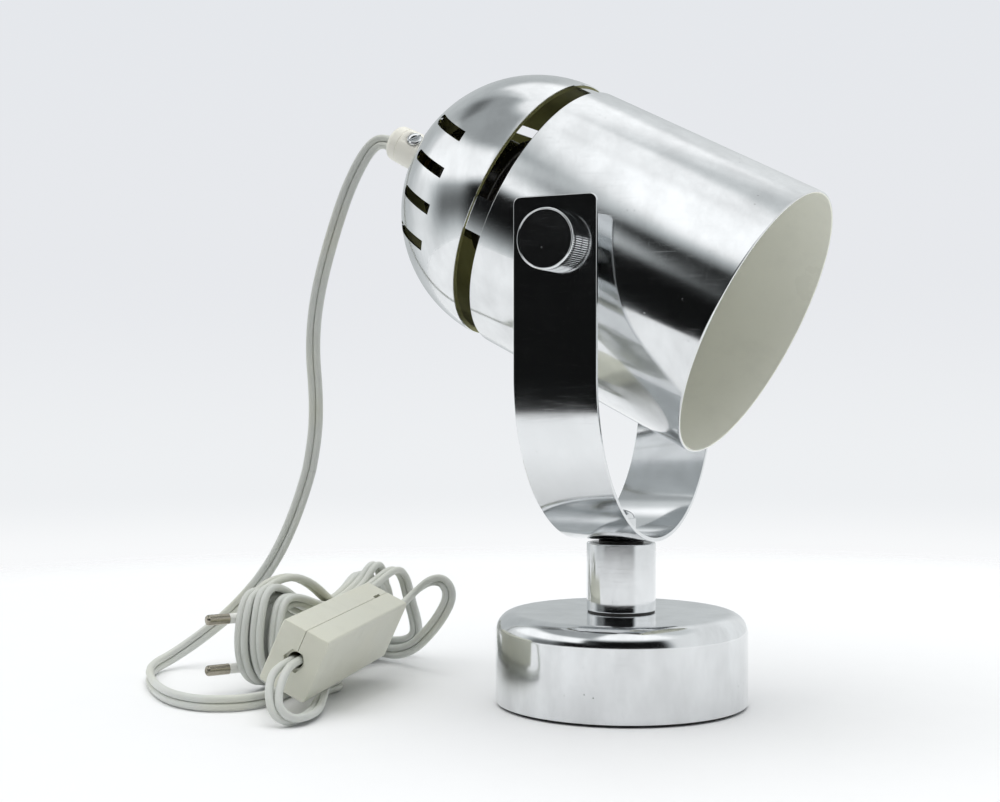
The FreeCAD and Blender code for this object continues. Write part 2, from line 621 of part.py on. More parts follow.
socket_bottom = ledge + " - socket_length"
socket = turned("socket", [
    ("contact_radius + socket_wall", socket_bottom), ("socket_radius + socket_wall", socket_bottom),
    ("socket_radius + socket_wall", ledge), ("socket_radius", ledge),
    ("socket_radius", socket_bottom + " + socket_wall"),
    ("contact_radius + socket_wall", socket_bottom + " + socket_wall"),
])
head_part("screw_socket", socket)
block = cylinder("contact_block_disc", "holder_radius - holder_wall - holder_gap", "block_thickness",
                 ("0", "0", socket_bottom + " - block_thickness"))
head_part("contact_block", group("contact_block", block))
centre = cylinder("centre_contact_stud", "contact_radius", "contact_height", ("0", "0", socket_bottom))
head_part("centre_contact", group("centre_contact", centre))

# ----------------------------------------------------------------------------- cord grip
grip_end = pole + " - grip_length"
grip_face = pole + " - seat_clearance"
nipple_end = pole + " - nipple_out - seat_clearance"
grip = turned("cord_grip", [
    ("0", grip_end), ("grip_radius", grip_end), ("grip_radius", grip_face),
    ("nipple_radius + thread_clearance", grip_face), ("nipple_radius + thread_clearance", nipple_end),
    ("0", nipple_end),
])
round_edges(grip, "grip_end_edge", "grip_rounding",
            lambda edge: is_circle_at(edge, value("grip_radius"), value(grip_end)))
cord_hole = cylinder("grip_cord_hole", "cord_radius + cord_hole_clearance", "grip_length", (
    "cord_exit_offset * cos(grip_roll)", "-cord_exit_offset * sin(grip_roll)", grip_end + " - grip_length / 2"))
screw_at = pole + " - grip_screw_at"
screw_face = "-grip_radius - grip_screw_head / 2"
screw_well = cylinder("grip_screw_well", "grip_screw_radius + cord_hole_clearance", "grip_screw_head + washer_thickness",
                      (screw_face + " - washer_thickness", "0", screw_at), "+x")
shank_length = "(grip_radius + grip_screw_head / 2 - nipple_radius - rod_hole_clearance)"
screw_bore = cylinder("grip_screw_bore", "grip_screw_radius / 2 + thread_clearance", "grip_radius",
                      (screw_face, "0", screw_at), "+x")
bind(screw_bore, Height=shank_length)
grip_piece = cut("cord_grip", grip, cord_hole, screw_well, screw_bore)
GRIP_ROTATION = HEAD_ROTATION.multiply(FreeCAD.Rotation(V(0, 0, 1), value("grip_roll")))
sub_part("cord_grip", grip_piece, GRIP_ROTATION, base_z="pivot_height")

screw_blank = cylinder("grip_screw_head_blank", "grip_screw_radius", "grip_screw_head", (screw_face, "0", screw_at), "+x")
screw_shank = cylinder("grip_screw_shank", "grip_screw_radius / 2", "grip_screw_head", (screw_face, "0", screw_at), "+x")
bind(screw_shank, Height=shank_length + " - seat_clearance")
screw_slot = box("grip_screw_slot", ("screw_slot", "screw_slot", "3 * grip_screw_radius"),
                 (screw_face, "-screw_slot / 2", screw_at + " - 1.5 * grip_screw_radius"))
sub_part("grip_screw", cut("grip_screw", fuse("grip_screw", screw_blank, screw_shank), screw_slot),
         GRIP_ROTATION, base_z="pivot_height")

# ----------------------------------------------------------------------------- inline switch
SWITCH_ROTATION = FreeCAD.Rotation(V(0, 0, 1), value("switch_heading")).multiply(
    FreeCAD.Rotation(V(1, 0, 0), value("switch_rise"))).multiply(
    FreeCAD.Rotation(V(0, 1, 0), value("switch_lean")))


def switch_part(name, thing):
    """A piece drawn in the switch's own frame: X across, Y along and Z up its height."""
    return sub_part(name, thing, SWITCH_ROTATION, base_x="switch_x", base_y="switch_y", base_z="switch_z")


seam = "-switch_width / 2"
screw_height = "switch_height - case_screw_drop"
screw_places = ("case_screw_inset", "switch_length - case_screw_inset")
rocker_along = "switch_length / 2"
rocker_up = "switch_height / 2"
ports = [
    hexagon("cord_port_%d" % number, "cord_port", "3 * switch_wall", (seam, place, rocker_up), "+y")
    for number, place in enumerate(("-switch_wall", "switch_length - 2 * switch_wall"))
]
window = box("rocker_window",
             ("3 * switch_wall", "rocker_length + 2 * rocker_clearance", "rocker_width + 2 * rocker_clearance"),
             ("-switch_width - switch_wall", rocker_along + " - rocker_length / 2 - rocker_clearance",
              rocker_up + " - rocker_width / 2 - rocker_clearance"))
screw_bores = [
    cylinder("case_screw_bore_%d" % number, "case_screw_radius / 2 + thread_clearance",
             "switch_width - 2 * switch_wall", ("-switch_width", place, screw_height), "+x")
    for number, place in enumerate(screw_places)
]
screw_wells = [
    cylinder("case_screw_well_%d" % number, "case_screw_radius + cord_hole_clearance", "switch_wall",
             ("-switch_width", place, screw_height), "+x")
    for number, place in enumerate(screw_places)
]


def housing_half(name, outer_x, seam_x, hollow_x, boss_x, *tools):
    """One half of the housing: a rounded block, hollowed from the seam, with two screw bosses."""
    half = padded(name, [(outer_x, "0"), (seam_x, "0"), (seam_x, "switch_height"), (outer_x, "switch_height")],
                  "switch_length", "XZ_Plane")
    half.Tip.Reversed = True
    doc.recompute()
    edge_x = value(outer_x)
    round_edges(half, name + "_edges", "switch_edge",
                lambda edge: near(edge.BoundBox.XMin, edge_x) and near(edge.BoundBox.XMax, edge_x))
    hollow = box(name + "_hollow", ("switch_width / 2", "switch_length - 2 * switch_wall", "switch_height - 2 * switch_wall"),
                 (hollow_x, "switch_wall", "switch_wall"))
    bosses = [
        cylinder("%s_boss_%d" % (name, number), "case_boss_radius", "switch_width / 2 - switch_wall - switch_seam / 2",
                 (boss_x, place, screw_height), "+x")
        for number, place in enumerate(screw_places)
    ]
    shell = fuse(name, cut(name + "_shell", half, hollow), *bosses)
    switch_part(name, cut(name, shell, *tools))


housing_half("switch_cover", "0", seam + " + switch_seam / 2", seam + " - switch_wall",
             seam + " + switch_seam / 2", *ports, *screw_bores)
housing_half("switch_back", "-switch_width", seam + " - switch_seam / 2", "-switch_width + switch_wall",
             "-switch_width + switch_wall", *ports, *screw_bores, *screw_wells, window)

case_screws = []
for number, place in enumerate(screw_places):
    head = cylinder("case_screw_head_%d" % number, "case_screw_radius", "switch_wall - seat_clearance",
                    ("-switch_width", place, screw_height), "+x")
    shank = cylinder("case_screw_shank_%d" % number, "case_screw_radius / 2",
                     "switch_width - 2 * switch_wall - seat_clearance", ("-switch_width", place, screw_height), "+x")
    notch = box("case_screw_slot_%d" % number, ("screw_slot", "3 * case_screw_radius", "screw_slot"),
                ("-switch_width", place + " - 1.5 * case_screw_radius", screw_height + " - screw_slot / 2"))
    case_screws.append(cut("case_screw_%d" % number, fuse("case_screw_%d" % number, head, shank), notch))
switch_part("case_screws", group("case_screws", *case_screws))

pin_x = "-switch_width + switch_wall + rocker_width / 4"
rocker_blank = box("rocker_blank", ("switch_wall + rocker_proud + rocker_width / 2", "rocker_length", "rocker_width"),
                   ("-switch_width - rocker_proud", rocker_along + " - rocker_length / 2",
                    rocker_up + " - rocker_width / 2"))
rocker_bore = cylinder("rocker_bore", "rocker_pin_radius + rocker_bore_clearance", "2 * rocker_width",
                       (pin_x, rocker_along, rocker_up + " - rocker_width"))
dish = cylinder("rocker_dish", "2 * rocker_length", "2 * rocker_width",
                ("-switch_width - rocker_proud / 2 - 2 * rocker_length", rocker_along, rocker_up + " - rocker_width"))
switch_part("switch_rocker", cut("switch_rocker", rocker_blank, rocker_bore, dish))
inner_height = "switch_height - 2 * switch_wall - 2 * seat_clearance"
pin = cylinder("rocker_pin_rod", "rocker_pin_radius", inner_height,
               (pin_x, rocker_along, "switch_wall + seat_clearance"))
switch_part("rocker_pin", group("rocker_pin", pin))
contacts = box("switch_contact_carrier", ("2 * switch_wall", "contact_block_length", inner_height), (
    pin_x + " + rocker_width / 2", rocker_along + " - contact_block_length / 2", "switch_wall + seat_clearance"))
switch_part("switch_contacts", group("switch_contacts", contacts))

clamps = []
for number, place in enumerate(("switch_wall + seat_clearance", "switch_length - switch_wall - clamp_depth - seat_clearance")):
    block = box("cord_clamp_block_%d" % number,
                ("switch_width - 2 * switch_wall - 2 * seat_clearance", "clamp_depth", inner_height),
                ("-switch_width + switch_wall + seat_clearance", place, "switch_wall + seat_clearance"))
    bore = cylinder("cord_clamp_bore_%d" % number, "cord_radius + seat_clearance", "clamp_depth",
                    (seam, place, rocker_up), "+y")
    clamps.append(cut("cord_clamp_%d" % number, block, bore))
switch_part("cord_clamps", group("cord_clamps", *clamps))

# ----------------------------------------------------------------------------- plug
PLUG_ROTATION = FreeCAD.Rotation(V(0, 0, 1), value("plug_heading"))


def plug_part(name, thing):
    """A piece drawn in the plug's own frame: X from the face to the cord, Z across the pins."""
    return sub_part(name, thing, PLUG_ROTATION, base_x="plug_x", base_y="plug_y", base_z="plug_centre_z")


plug_face = box("plug_front", ("plug_tip_length", "plug_thickness", "plug_height"),
                ("0", "-plug_thickness / 2", "-plug_height / 2"))
plug_taper = doc.addObject("Part::Wedge", "plug_taper")
plug_taper.Placement = FreeCAD.Placement(V(), FreeCAD.Rotation(V(0, 0, 1), -90))
bind(plug_taper, Xmin="-plug_thickness / 2", Xmax="plug_thickness / 2", Zmin="-plug_height / 2",
     Zmax="plug_height / 2", Ymin="plug_tip_length", Ymax="plug_length",
     X2min="-plug_back_thickness / 2", X2max="plug_back_thickness / 2",
     Z2min="-plug_back_height / 2", Z2max="plug_back_height / 2")
pin_places = ("-pin_spacing / 2", "pin_spacing / 2")
pin_wells = [
    cylinder("pin_well_%d" % number, "sleeve_radius", "pin_root", ("0", "0", place), "+x")
    for number, place in enumerate(pin_places)
]
plug_part("plug_body", cut("plug_body", fuse("plug_body", plug_face, plug_taper), *pin_wells))
pins = []
for number, place in enumerate(pin_places):
    sleeve = cylinder("pin_sleeve_part_%d" % number, "sleeve_radius", "pin_sleeve + pin_root", ("-pin_sleeve", "0", place), "+x")
    tip = cylinder("pin_tip_%d" % number, "pin_radius", "pin_length - pin_sleeve", ("-pin_length", "0", place), "+x")
    pins.append(fuse("plug_pin_%d" % number, sleeve, tip))
plug_part("plug_pins", group("plug_pins", *pins))

# ----------------------------------------------------------------------------- cord
CORD_UPPER = [
    (-95.2, 0, 207.8), (-98.8, 0, 209.6), (-103.7, 0, 208.9), (-109.8, 0, 202.4), (-118.4, 0, 186.5),
    (-129.4, 0, 154.6), (-132.6, 0, 131.8), (-130.4, 0, 109.9), (-131.0, 0, 93.0), (-133.8, 0, 81.0),
]
CORD_LOWER = [
    (-133.8, 0, 81.0), (-138.4, 0, 66.5), (-151.6, 0, 41.8), (-170.4, 0.4, 23.0), (-184.0, -4.6, 11.4),
    (-190.4, -14.6, 4.6), (-188.6, -28.6, 2.9), (-178.0, -44.6, 2.9), (-164.0, -59.6, 2.9),
    (-151.0, -71.0, 2.9), (-138.0, -79.0, 2.9), (-124.5, -81.5, 2.9), (-113.5, -75.5, 2.9),
    (-109.0, -64.0, 2.9), (-109.8, -50.0, 2.9), (-109.8, -33.2, 2.9), (-105.8, -29.2, 2.9),
    (-100.2, -29.2, 2.9), (-96.4, -32.8, 2.9), (-93.2, -41.0, 2.9), (-88.8, -50.5, 2.9),
    (-86.4, -62.0, 3.0), (-82.4, -73.5, 3.0), (-79.6, -81.5, 3.0), (-80.8, -88.2, 3.9), (-85.2, -91.2, 8.6),
    (-88.0, -89.0, 14.8), (-89.4, -82.6, 18.4), (-91.5, -71.0, 19.3),
]
CORD_LEAD = [
    (-103.9, -0.8, 23.0), (-105.6, 9.0, 23.5), (-106.8, 20.0, 24.6), (-104.8, 28.6, 29.4), (-99.8, 33.3, 34.4),
    (-92.6, 35.2, 34.8), (-87.6, 34.0, 28.4), (-88.6, 32.2, 20.0), (-94.6, 32.2, 12.8), (-102.2, 34.6, 7.3),
    (-110.0, 39.2, 3.8), (-119.0, 44.6, 3.1),
]
CORD_TAIL = [
    (-119.5, -20.2, 18.5), (-117.0, -15.9, 18.7), (-116.6, -9.5, 21.4), (-118.6, -0.8, 24.4),
    (-123.4, 18.6, 24.0), (-127.5, 47.2, 21.8),
]


def unit(vector):
    return V(vector).normalize()


def tube(name, points):
    """A round cord through straight runs joined by tangent arcs."""
    places = [V(*point) for point in points]
    edges = []
    radii = []
    start = places[0]
    for before, corner, after in zip(places, places[1:], places[2:]):
        coming = unit(corner - before)
        going = unit(after - corner)
        half_turn = coming.getAngle(going) / 2
        reach = 0.45 * min((corner - before).Length, (after - corner).Length)
        radius = reach / math.tan(half_turn)
        radii.append(radius)
        arc_start = corner - coming * reach
        arc_end = corner + going * reach
        inside = unit(going - coming)
        arc_middle = corner + inside * (radius / math.cos(half_turn) - radius)
        edges.append(Part.LineSegment(start, arc_start).toShape())
        edges.append(Part.Arc(arc_start, arc_middle, arc_end).toShape())
        start = arc_end
    edges.append(Part.LineSegment(start, places[-1]).toShape())
    length = sum(edge.Length for edge in edges)
    cord_radius = value("cord_radius")
    section = Part.Wire([Part.makeCircle(cord_radius, places[0], places[1] - places[0])])
    solid = Part.Wire(edges).makePipeShell([section], True, True)
    wanted = math.pi * cord_radius ** 2 * length
    if abs(solid.Volume - wanted) > 0.01 * wanted:
        raise RuntimeError("%s is not a clean tube: %.0f of %.0f mm3" % (name, solid.Volume, wanted))
    print("%s: %.0f mm long, bend radii %s mm" % (name, length, " ".join("%.0f" % r for r in radii)))
    made = doc.addObject("Part::Feature", name)
    made.Shape = solid
    made.Placement = FreeCAD.Placement()
    return sub_part(name, made)


tube("cord_upper", CORD_UPPER)
tube("cord_lower", CORD_LOWER)
tube("cord_lead", CORD_LEAD)
tube("cord_tail", CORD_TAIL)

hank_end = "hank_height / 2"
hank_rotation = FreeCAD.Rotation(V(0, 0, 1), value("hank_heading"))


def stadium(name, inset, thickness):
    """A block with two round ends, standing on edge along Y."""
    radius = "hank_height / 2 - " + inset
    across = thickness + " / 2"
    ends = [
        cylinder("%s_end_%d" % (name, number), radius, thickness, ("-" + across, place, hank_end), "+x")
        for number, place in enumerate((hank_end, "hank_length - hank_height / 2"))
    ]
    middle = box(name + "_middle", (thickness, "hank_length - hank_height", "hank_height - 2 * " + inset),
                 ("-" + across, hank_end, inset))
    return fuse(name, middle, *ends)


hank_hollow = stadium("hank_hollow", "hank_section", "(2 * hank_thickness)")
sub_part("cord_hank", cut("cord_hank", stadium("hank_outside", "0 * hank_section", "hank_thickness"), hank_hollow),
         hank_rotation, base_x="hank_near_x", base_y="hank_near_y")

# ----------------------------------------------------------------------------- write the pieces
doc.recompute()
os.makedirs("parts", exist_ok=True)
for thing in doc.Objects:
    if "Invalid" in thing.State or "Error" in thing.State:
        raise RuntimeError("%s did not compute: %s" % (thing.Name, thing.State))
for thing in sub_parts:
    shape = thing.Shape
    if shape.isNull() or not shape.isValid():
        raise RuntimeError("%s has no valid shape" % thing.Label)
    shape.exportStep("parts/%s.step" % thing.Label)
print("%d pieces written" % len(sub_parts))
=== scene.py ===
"""A tabletop searchlight lamp dressed for rendering, laid out as a Blender add-on.

Sizes are in metres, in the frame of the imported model: +Z is up, the origin is the centre of the
underside of the base, and +X is the way the head points.  Head pieces are drawn along a local Z
that runs from the tilt axis to the mouth, and are laid over by the tilt angle.
"""

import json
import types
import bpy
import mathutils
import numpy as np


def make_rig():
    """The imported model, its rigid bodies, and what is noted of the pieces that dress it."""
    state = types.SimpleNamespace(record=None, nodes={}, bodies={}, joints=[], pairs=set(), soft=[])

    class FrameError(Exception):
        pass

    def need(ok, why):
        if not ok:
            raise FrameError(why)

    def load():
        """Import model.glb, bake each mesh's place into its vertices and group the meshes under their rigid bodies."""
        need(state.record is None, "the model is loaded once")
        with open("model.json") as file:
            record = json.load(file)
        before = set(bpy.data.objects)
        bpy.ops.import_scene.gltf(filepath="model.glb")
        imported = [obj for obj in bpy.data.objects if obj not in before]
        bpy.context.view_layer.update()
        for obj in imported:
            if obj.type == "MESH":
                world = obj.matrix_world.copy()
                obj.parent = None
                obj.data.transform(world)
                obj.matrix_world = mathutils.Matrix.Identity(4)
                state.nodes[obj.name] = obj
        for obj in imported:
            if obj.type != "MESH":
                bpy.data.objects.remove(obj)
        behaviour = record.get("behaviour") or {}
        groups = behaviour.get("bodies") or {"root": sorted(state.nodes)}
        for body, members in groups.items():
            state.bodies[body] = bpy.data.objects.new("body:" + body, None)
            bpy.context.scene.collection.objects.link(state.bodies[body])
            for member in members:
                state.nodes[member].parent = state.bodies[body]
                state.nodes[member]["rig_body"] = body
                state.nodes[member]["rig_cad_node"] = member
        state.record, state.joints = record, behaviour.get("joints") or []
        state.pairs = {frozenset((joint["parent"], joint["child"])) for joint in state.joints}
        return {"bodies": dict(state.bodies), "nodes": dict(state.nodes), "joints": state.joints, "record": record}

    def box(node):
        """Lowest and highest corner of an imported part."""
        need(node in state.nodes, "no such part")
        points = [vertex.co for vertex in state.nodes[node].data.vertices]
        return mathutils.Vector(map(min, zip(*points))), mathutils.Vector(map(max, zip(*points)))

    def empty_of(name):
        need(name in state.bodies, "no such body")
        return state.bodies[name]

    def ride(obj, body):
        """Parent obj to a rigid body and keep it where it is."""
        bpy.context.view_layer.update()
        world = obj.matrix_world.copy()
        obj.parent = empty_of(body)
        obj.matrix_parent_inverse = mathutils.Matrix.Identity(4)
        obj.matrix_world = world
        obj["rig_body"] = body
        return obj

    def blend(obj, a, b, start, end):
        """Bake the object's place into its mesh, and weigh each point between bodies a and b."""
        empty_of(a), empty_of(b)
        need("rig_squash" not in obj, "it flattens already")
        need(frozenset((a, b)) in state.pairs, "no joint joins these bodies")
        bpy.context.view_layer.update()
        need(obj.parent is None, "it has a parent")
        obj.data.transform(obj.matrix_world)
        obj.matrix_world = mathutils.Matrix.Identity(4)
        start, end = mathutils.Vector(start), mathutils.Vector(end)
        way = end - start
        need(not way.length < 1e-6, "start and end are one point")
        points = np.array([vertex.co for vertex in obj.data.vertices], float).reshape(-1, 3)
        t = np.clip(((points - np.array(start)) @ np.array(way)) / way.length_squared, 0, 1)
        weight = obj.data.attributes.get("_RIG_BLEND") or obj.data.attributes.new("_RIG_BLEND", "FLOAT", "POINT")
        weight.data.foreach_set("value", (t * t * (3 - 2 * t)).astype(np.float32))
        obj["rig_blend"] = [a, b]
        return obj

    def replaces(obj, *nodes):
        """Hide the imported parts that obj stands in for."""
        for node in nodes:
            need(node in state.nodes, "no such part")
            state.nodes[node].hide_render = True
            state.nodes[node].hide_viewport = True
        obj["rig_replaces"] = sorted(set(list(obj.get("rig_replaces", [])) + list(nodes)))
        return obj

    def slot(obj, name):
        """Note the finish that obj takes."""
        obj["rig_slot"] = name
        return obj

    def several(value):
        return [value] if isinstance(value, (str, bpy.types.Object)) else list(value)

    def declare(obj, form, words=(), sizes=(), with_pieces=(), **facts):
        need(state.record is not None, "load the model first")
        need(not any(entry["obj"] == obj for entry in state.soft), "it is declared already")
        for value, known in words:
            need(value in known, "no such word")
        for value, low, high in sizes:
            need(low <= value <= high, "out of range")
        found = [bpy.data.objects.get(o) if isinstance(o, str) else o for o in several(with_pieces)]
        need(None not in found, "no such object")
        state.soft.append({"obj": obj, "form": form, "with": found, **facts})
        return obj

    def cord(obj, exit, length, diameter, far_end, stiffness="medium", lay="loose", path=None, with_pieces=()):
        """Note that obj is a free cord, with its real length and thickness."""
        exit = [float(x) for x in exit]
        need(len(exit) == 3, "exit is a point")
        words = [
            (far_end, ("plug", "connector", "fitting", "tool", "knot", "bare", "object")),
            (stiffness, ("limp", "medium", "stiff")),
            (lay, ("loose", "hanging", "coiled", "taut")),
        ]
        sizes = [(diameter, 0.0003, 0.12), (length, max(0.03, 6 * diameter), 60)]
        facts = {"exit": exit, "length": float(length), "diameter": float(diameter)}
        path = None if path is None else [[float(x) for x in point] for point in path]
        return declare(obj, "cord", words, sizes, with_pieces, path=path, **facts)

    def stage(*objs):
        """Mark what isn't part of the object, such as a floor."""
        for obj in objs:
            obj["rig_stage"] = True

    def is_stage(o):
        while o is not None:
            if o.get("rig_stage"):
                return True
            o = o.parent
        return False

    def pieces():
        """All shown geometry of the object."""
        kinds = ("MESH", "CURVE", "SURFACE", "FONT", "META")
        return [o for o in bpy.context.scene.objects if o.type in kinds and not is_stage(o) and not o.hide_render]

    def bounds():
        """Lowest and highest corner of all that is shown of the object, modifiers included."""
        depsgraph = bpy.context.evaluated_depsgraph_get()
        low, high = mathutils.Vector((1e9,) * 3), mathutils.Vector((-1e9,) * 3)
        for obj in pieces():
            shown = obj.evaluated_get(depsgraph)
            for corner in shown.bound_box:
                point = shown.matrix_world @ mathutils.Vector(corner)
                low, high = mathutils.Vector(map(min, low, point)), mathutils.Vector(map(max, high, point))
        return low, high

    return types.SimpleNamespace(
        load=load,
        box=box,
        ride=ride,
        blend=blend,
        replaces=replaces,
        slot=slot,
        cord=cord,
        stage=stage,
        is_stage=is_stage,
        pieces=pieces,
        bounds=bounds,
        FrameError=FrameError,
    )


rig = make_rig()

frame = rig.load()

import json
import math

import bmesh
import bpy
from bpy.props import FloatProperty, FloatVectorProperty, IntProperty, PointerProperty
from bpy.types import Operator, Panel, PropertyGroup
from mathutils import Matrix, Vector

bl_info = {
    "name": "Searchlight lamp",
    "version": (1, 0, 0),
    "blender": (4, 5, 0),
    "location": "3D View > Sidebar > Lamp",
    "description": "Builds a chromed searchlight table lamp with its cord, switch and studio stage",
    "category": "Object",
}

MM = 0.001
CAD_LOW, CAD_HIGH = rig.bounds()


# ----------------------------------------------------------------------------- kinds of setting
def length(name, description, default):
    """A size in metres."""
    return FloatProperty(name=name, description=description, default=default, min=0.0, precision=5,
                         subtype="DISTANCE", unit="LENGTH")


def place(name, description, default):
    """A position in metres, which may be negative."""
    return FloatProperty(name=name, description=description, default=default, precision=5,
                         subtype="DISTANCE", unit="LENGTH")


def angle(name, description, degrees):
    """An angle, given in degrees and kept in radians."""
    return FloatProperty(name=name, description=description, default=math.radians(degrees),
                         subtype="ANGLE", unit="ROTATION")


def share(name, description, default):
    """A number from nought to one."""
    return FloatProperty(name=name, description=description, default=default, min=0.0, max=1.0, subtype="FACTOR")


def amount(name, description, default):
    """A plain number with no unit."""
    return FloatProperty(name=name, description=description, default=default, min=0.0)


def colour(name, description, default):
    """A colour in linear light."""
    return FloatVectorProperty(name=name, description=description, default=default, size=3,
                               min=0.0, max=1.0, subtype="COLOR")


def top_of(node):
    """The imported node's highest x, y and z."""
    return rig.box(node)[1]


def bottom_of(node):
    """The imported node's lowest x, y and z."""
    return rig.box(node)[0]


# ----------------------------------------------------------------------------- settings
class LampFinishes(PropertyGroup):
    chrome: colour("Chrome", "Colour of the bright plating", (0.785, 0.80, 0.81))
    chrome_roughness: share("Chrome roughness", "Roughness of clean plating", 0.075)
    # This colour is the tarnish inside the dome, and also painted shade on the dome rim's step inside the bright lip.
    tarnish_and_ledge_shade: colour("Tarnish", "Unplated inside of the dome", (0.21, 0.205, 0.083))
    inside_paint: colour("Inside paint", "Cream enamel inside the shade", (0.965, 0.97, 0.875))
    ivory: colour("Ivory", "Cord grip and spacers", (0.96, 0.94, 0.85))
    grey_plastic: colour("Switch plastic", "Moulded housing of the switch", (0.70, 0.705, 0.605))
    cord_plastic: colour("Cord plastic", "Sheath of the cord and the plug", (0.66, 0.68, 0.645))
    bakelite: colour("Bakelite", "Black lampholder", (0.014, 0.012, 0.011))
    brass: colour("Brass", "Screw socket, nuts and inserts", (0.70, 0.52, 0.25))
    steel: colour("Steel", "Washers, nuts and the tie rod", (0.48, 0.48, 0.47))


class BaseSizes(PropertyGroup):
    radius: length("Radius", "Outside radius of the drawn cover", top_of("base_cover")[0])
    height: length("Height", "Top of the cover above the table", top_of("base_cover")[2])
    wall: length("Wall", "Sheet thickness of the cover", 0.0012)
    corner: length("Corner", "Outside radius of the cover's top edge", 0.007)
    reveal: length("Reveal", "Part of the foot pad that shows below the cover", bottom_of("base_cover")[2])
    hole: length("Hole", "Radius of the hole for the tie rod", 0.00325)


class StemSizes(PropertyGroup):
    radius: length("Radius", "Outside radius of the stem", top_of("stem_tube")[0])
    bottom: length("Bottom", "Lower end of the tube", bottom_of("stem_tube")[2])
    top: length("Top", "Upper end of the tube", top_of("stem_tube")[2])
    wall: length("Wall", "Wall of the tube", 0.0012)


class YokeSizes(PropertyGroup):
    width: length("Width", "Width of the strap", 2 * top_of("yoke_strap")[0])
    thickness: length("Thickness", "Thickness of the strap", 0.0015)
    half_span: length("Half span", "Outside half span between the arms", top_of("yoke_strap")[1])
    bottom: length("Bottom", "Lowest point of the strap", bottom_of("yoke_strap")[2])
    top: length("Top", "Top of the arms", top_of("yoke_strap")[2])
    corner: length("Corner", "Corner radius of the arm ends", 0.0025)
    easing: angle("Easing", "Part of the bend over which the arm eases into it", 36)
    edge: length("Edge", "Rounding of the strap's cut edges", 0.00032)
    nut_flats: length("Nut flats", "Width across flats of the cap nut", 0.010)
    nut_height: length("Nut height", "Height of the cap nut's flats", 0.005)
    nut_dome: length("Nut dome", "Height of the cap nut's dome", 0.003)


class HeadSizes(PropertyGroup):
    tilt: angle("Tilt", "Angle of the head below the horizontal", 27)
    radius: length("Radius", "Outside radius of the shade and the dome", top_of("shade_tube")[1])
    wall: length("Wall", "Wall of the shade and of the dome", 0.001)
    mouth: place("Mouth", "Mouth of the shade along the head", 0.05735)
    shade_back: place("Shade back", "Rear edge of the shade along the head", -0.0304)
    dome_rim: place("Dome rim", "Rim of the dome along the head", -0.0377)
    skirt_front: place("Skirt front", "Front edge of the dome's skirt", -0.0184)
    skirt_radius: length("Skirt radius", "Outside radius of the dome's skirt", 0.04895)
    # The rest of the rim's step, inside this lip, takes the dark inside finish as painted shade.
    lip: length("Lip", "Bright part of the dome's rim, from its edge", 0.0004)
    pole_hole: length("Pole hole", "Radius of the hole for the nipple", 0.00498)
    roll: angle("Roll", "Middle of the first bridge round the head", 6)
    bridge: angle("Bridge", "Angle of each bridge between the long slots", 14.5)
    vent_width: length("Vent width", "Width of the vents", 0.0038)
    vent_pitch: length("Vent pitch", "Distance between neighbouring vents", 0.0138)
    vent_front: place("Vent front", "Front end of the vents along the head", -0.0546)
    vent_back: place("Vent back", "Rear end of the vents along the head", -0.0742)


class PivotSizes(PropertyGroup):
    knob_radius: length("Knob radius", "Radius of the knurled knobs", 0.01015)
    knob_foot: length("Knob foot", "Knob's foot from the middle of the lamp", 0.05805)
    knob_thickness: length("Knob thickness", "Thickness of the knobs", 0.0075)
    groove_at: length("Groove", "Groove's distance from the knob's face", 0.0017)
    groove: length("Groove width", "Width of the groove", 0.0010)
    teeth: IntProperty(name="Teeth", description="Number of knurled teeth", default=84, min=12)
    spacer_radius: length("Spacer radius", "Radius of the spacers", top_of("spacer_near")[0])
    spacer_start: length("Spacer start", "Spacer's inner end from the middle", -top_of("spacer_near")[1])
    spacer_end: length("Spacer end", "Spacer's outer end from the middle", -bottom_of("spacer_near")[1])


class LampholderSizes(PropertyGroup):
    radius: length("Radius", "Radius of the lampholder", 0.020)
    neck: length("Neck", "Radius of the cap's neck", 0.009)
    cap_back: place("Cap back", "Rear of the cap along the head", -0.08265)
    cap_front: place("Cap front", "Front of the cap along the head", -0.06865)
    mouth: place("Mouth", "Front of the lampholder along the head", -0.0346)
    collar_radius: length("Collar radius", "Radius of the collar", 0.0235)
    collar_front: place("Collar front", "Front of the collar along the head", -0.0466)
    socket_radius: length("Socket radius", "Inner radius of the screw socket", 0.0133)
    socket_front: place("Socket front", "Front of the screw socket", -0.0366)
    socket_back: place("Socket back", "Rear of the screw socket", -0.0606)
    thread_pitch: length("Thread pitch", "Pitch of the rolled thread", 0.0036)


class GripSizes(PropertyGroup):
    radius: length("Radius", "Radius of the cord grip", 0.0072)
    front: place("Front", "Face on the dome along the head", -0.08775)
    back: place("Back", "Outer end along the head", -0.1057)
    rounding: length("Rounding", "Rounding of the outer end", 0.0025)
    roll: angle("Roll", "Turn of the grip about the head", 50)
    cord_offset: length("Cord offset", "Cord hole's distance from the grip's middle", 0.0015)
    screw_radius: length("Screw radius", "Radius of the grip screw's head", 0.0029)
    screw_at: place("Screw", "Grip screw along the head", -0.0947)


class SwitchSizes(PropertyGroup):
    width: length("Width", "Thickness of the closed housing", 0.0186)
    run: length("Length", "Length of the housing", 0.078)
    height: length("Height", "Height of the housing", 0.0238)
    wall: length("Wall", "Wall of the housing", 0.0016)
    edge: length("Edge", "Rounding of the outer edges", 0.0012)
    seam: length("Seam", "Gap at the joint of the two halves", 0.00012)
    port: length("Port", "Corner radius of the six-sided cord ports", 0.0042)
    heading: angle("Heading", "Turn of the housing about the vertical", 10)
    rise: angle("Rise", "Slope of the housing along its length", 3)
    lean: angle("Lean", "Lean of the housing about its length", 25.5)


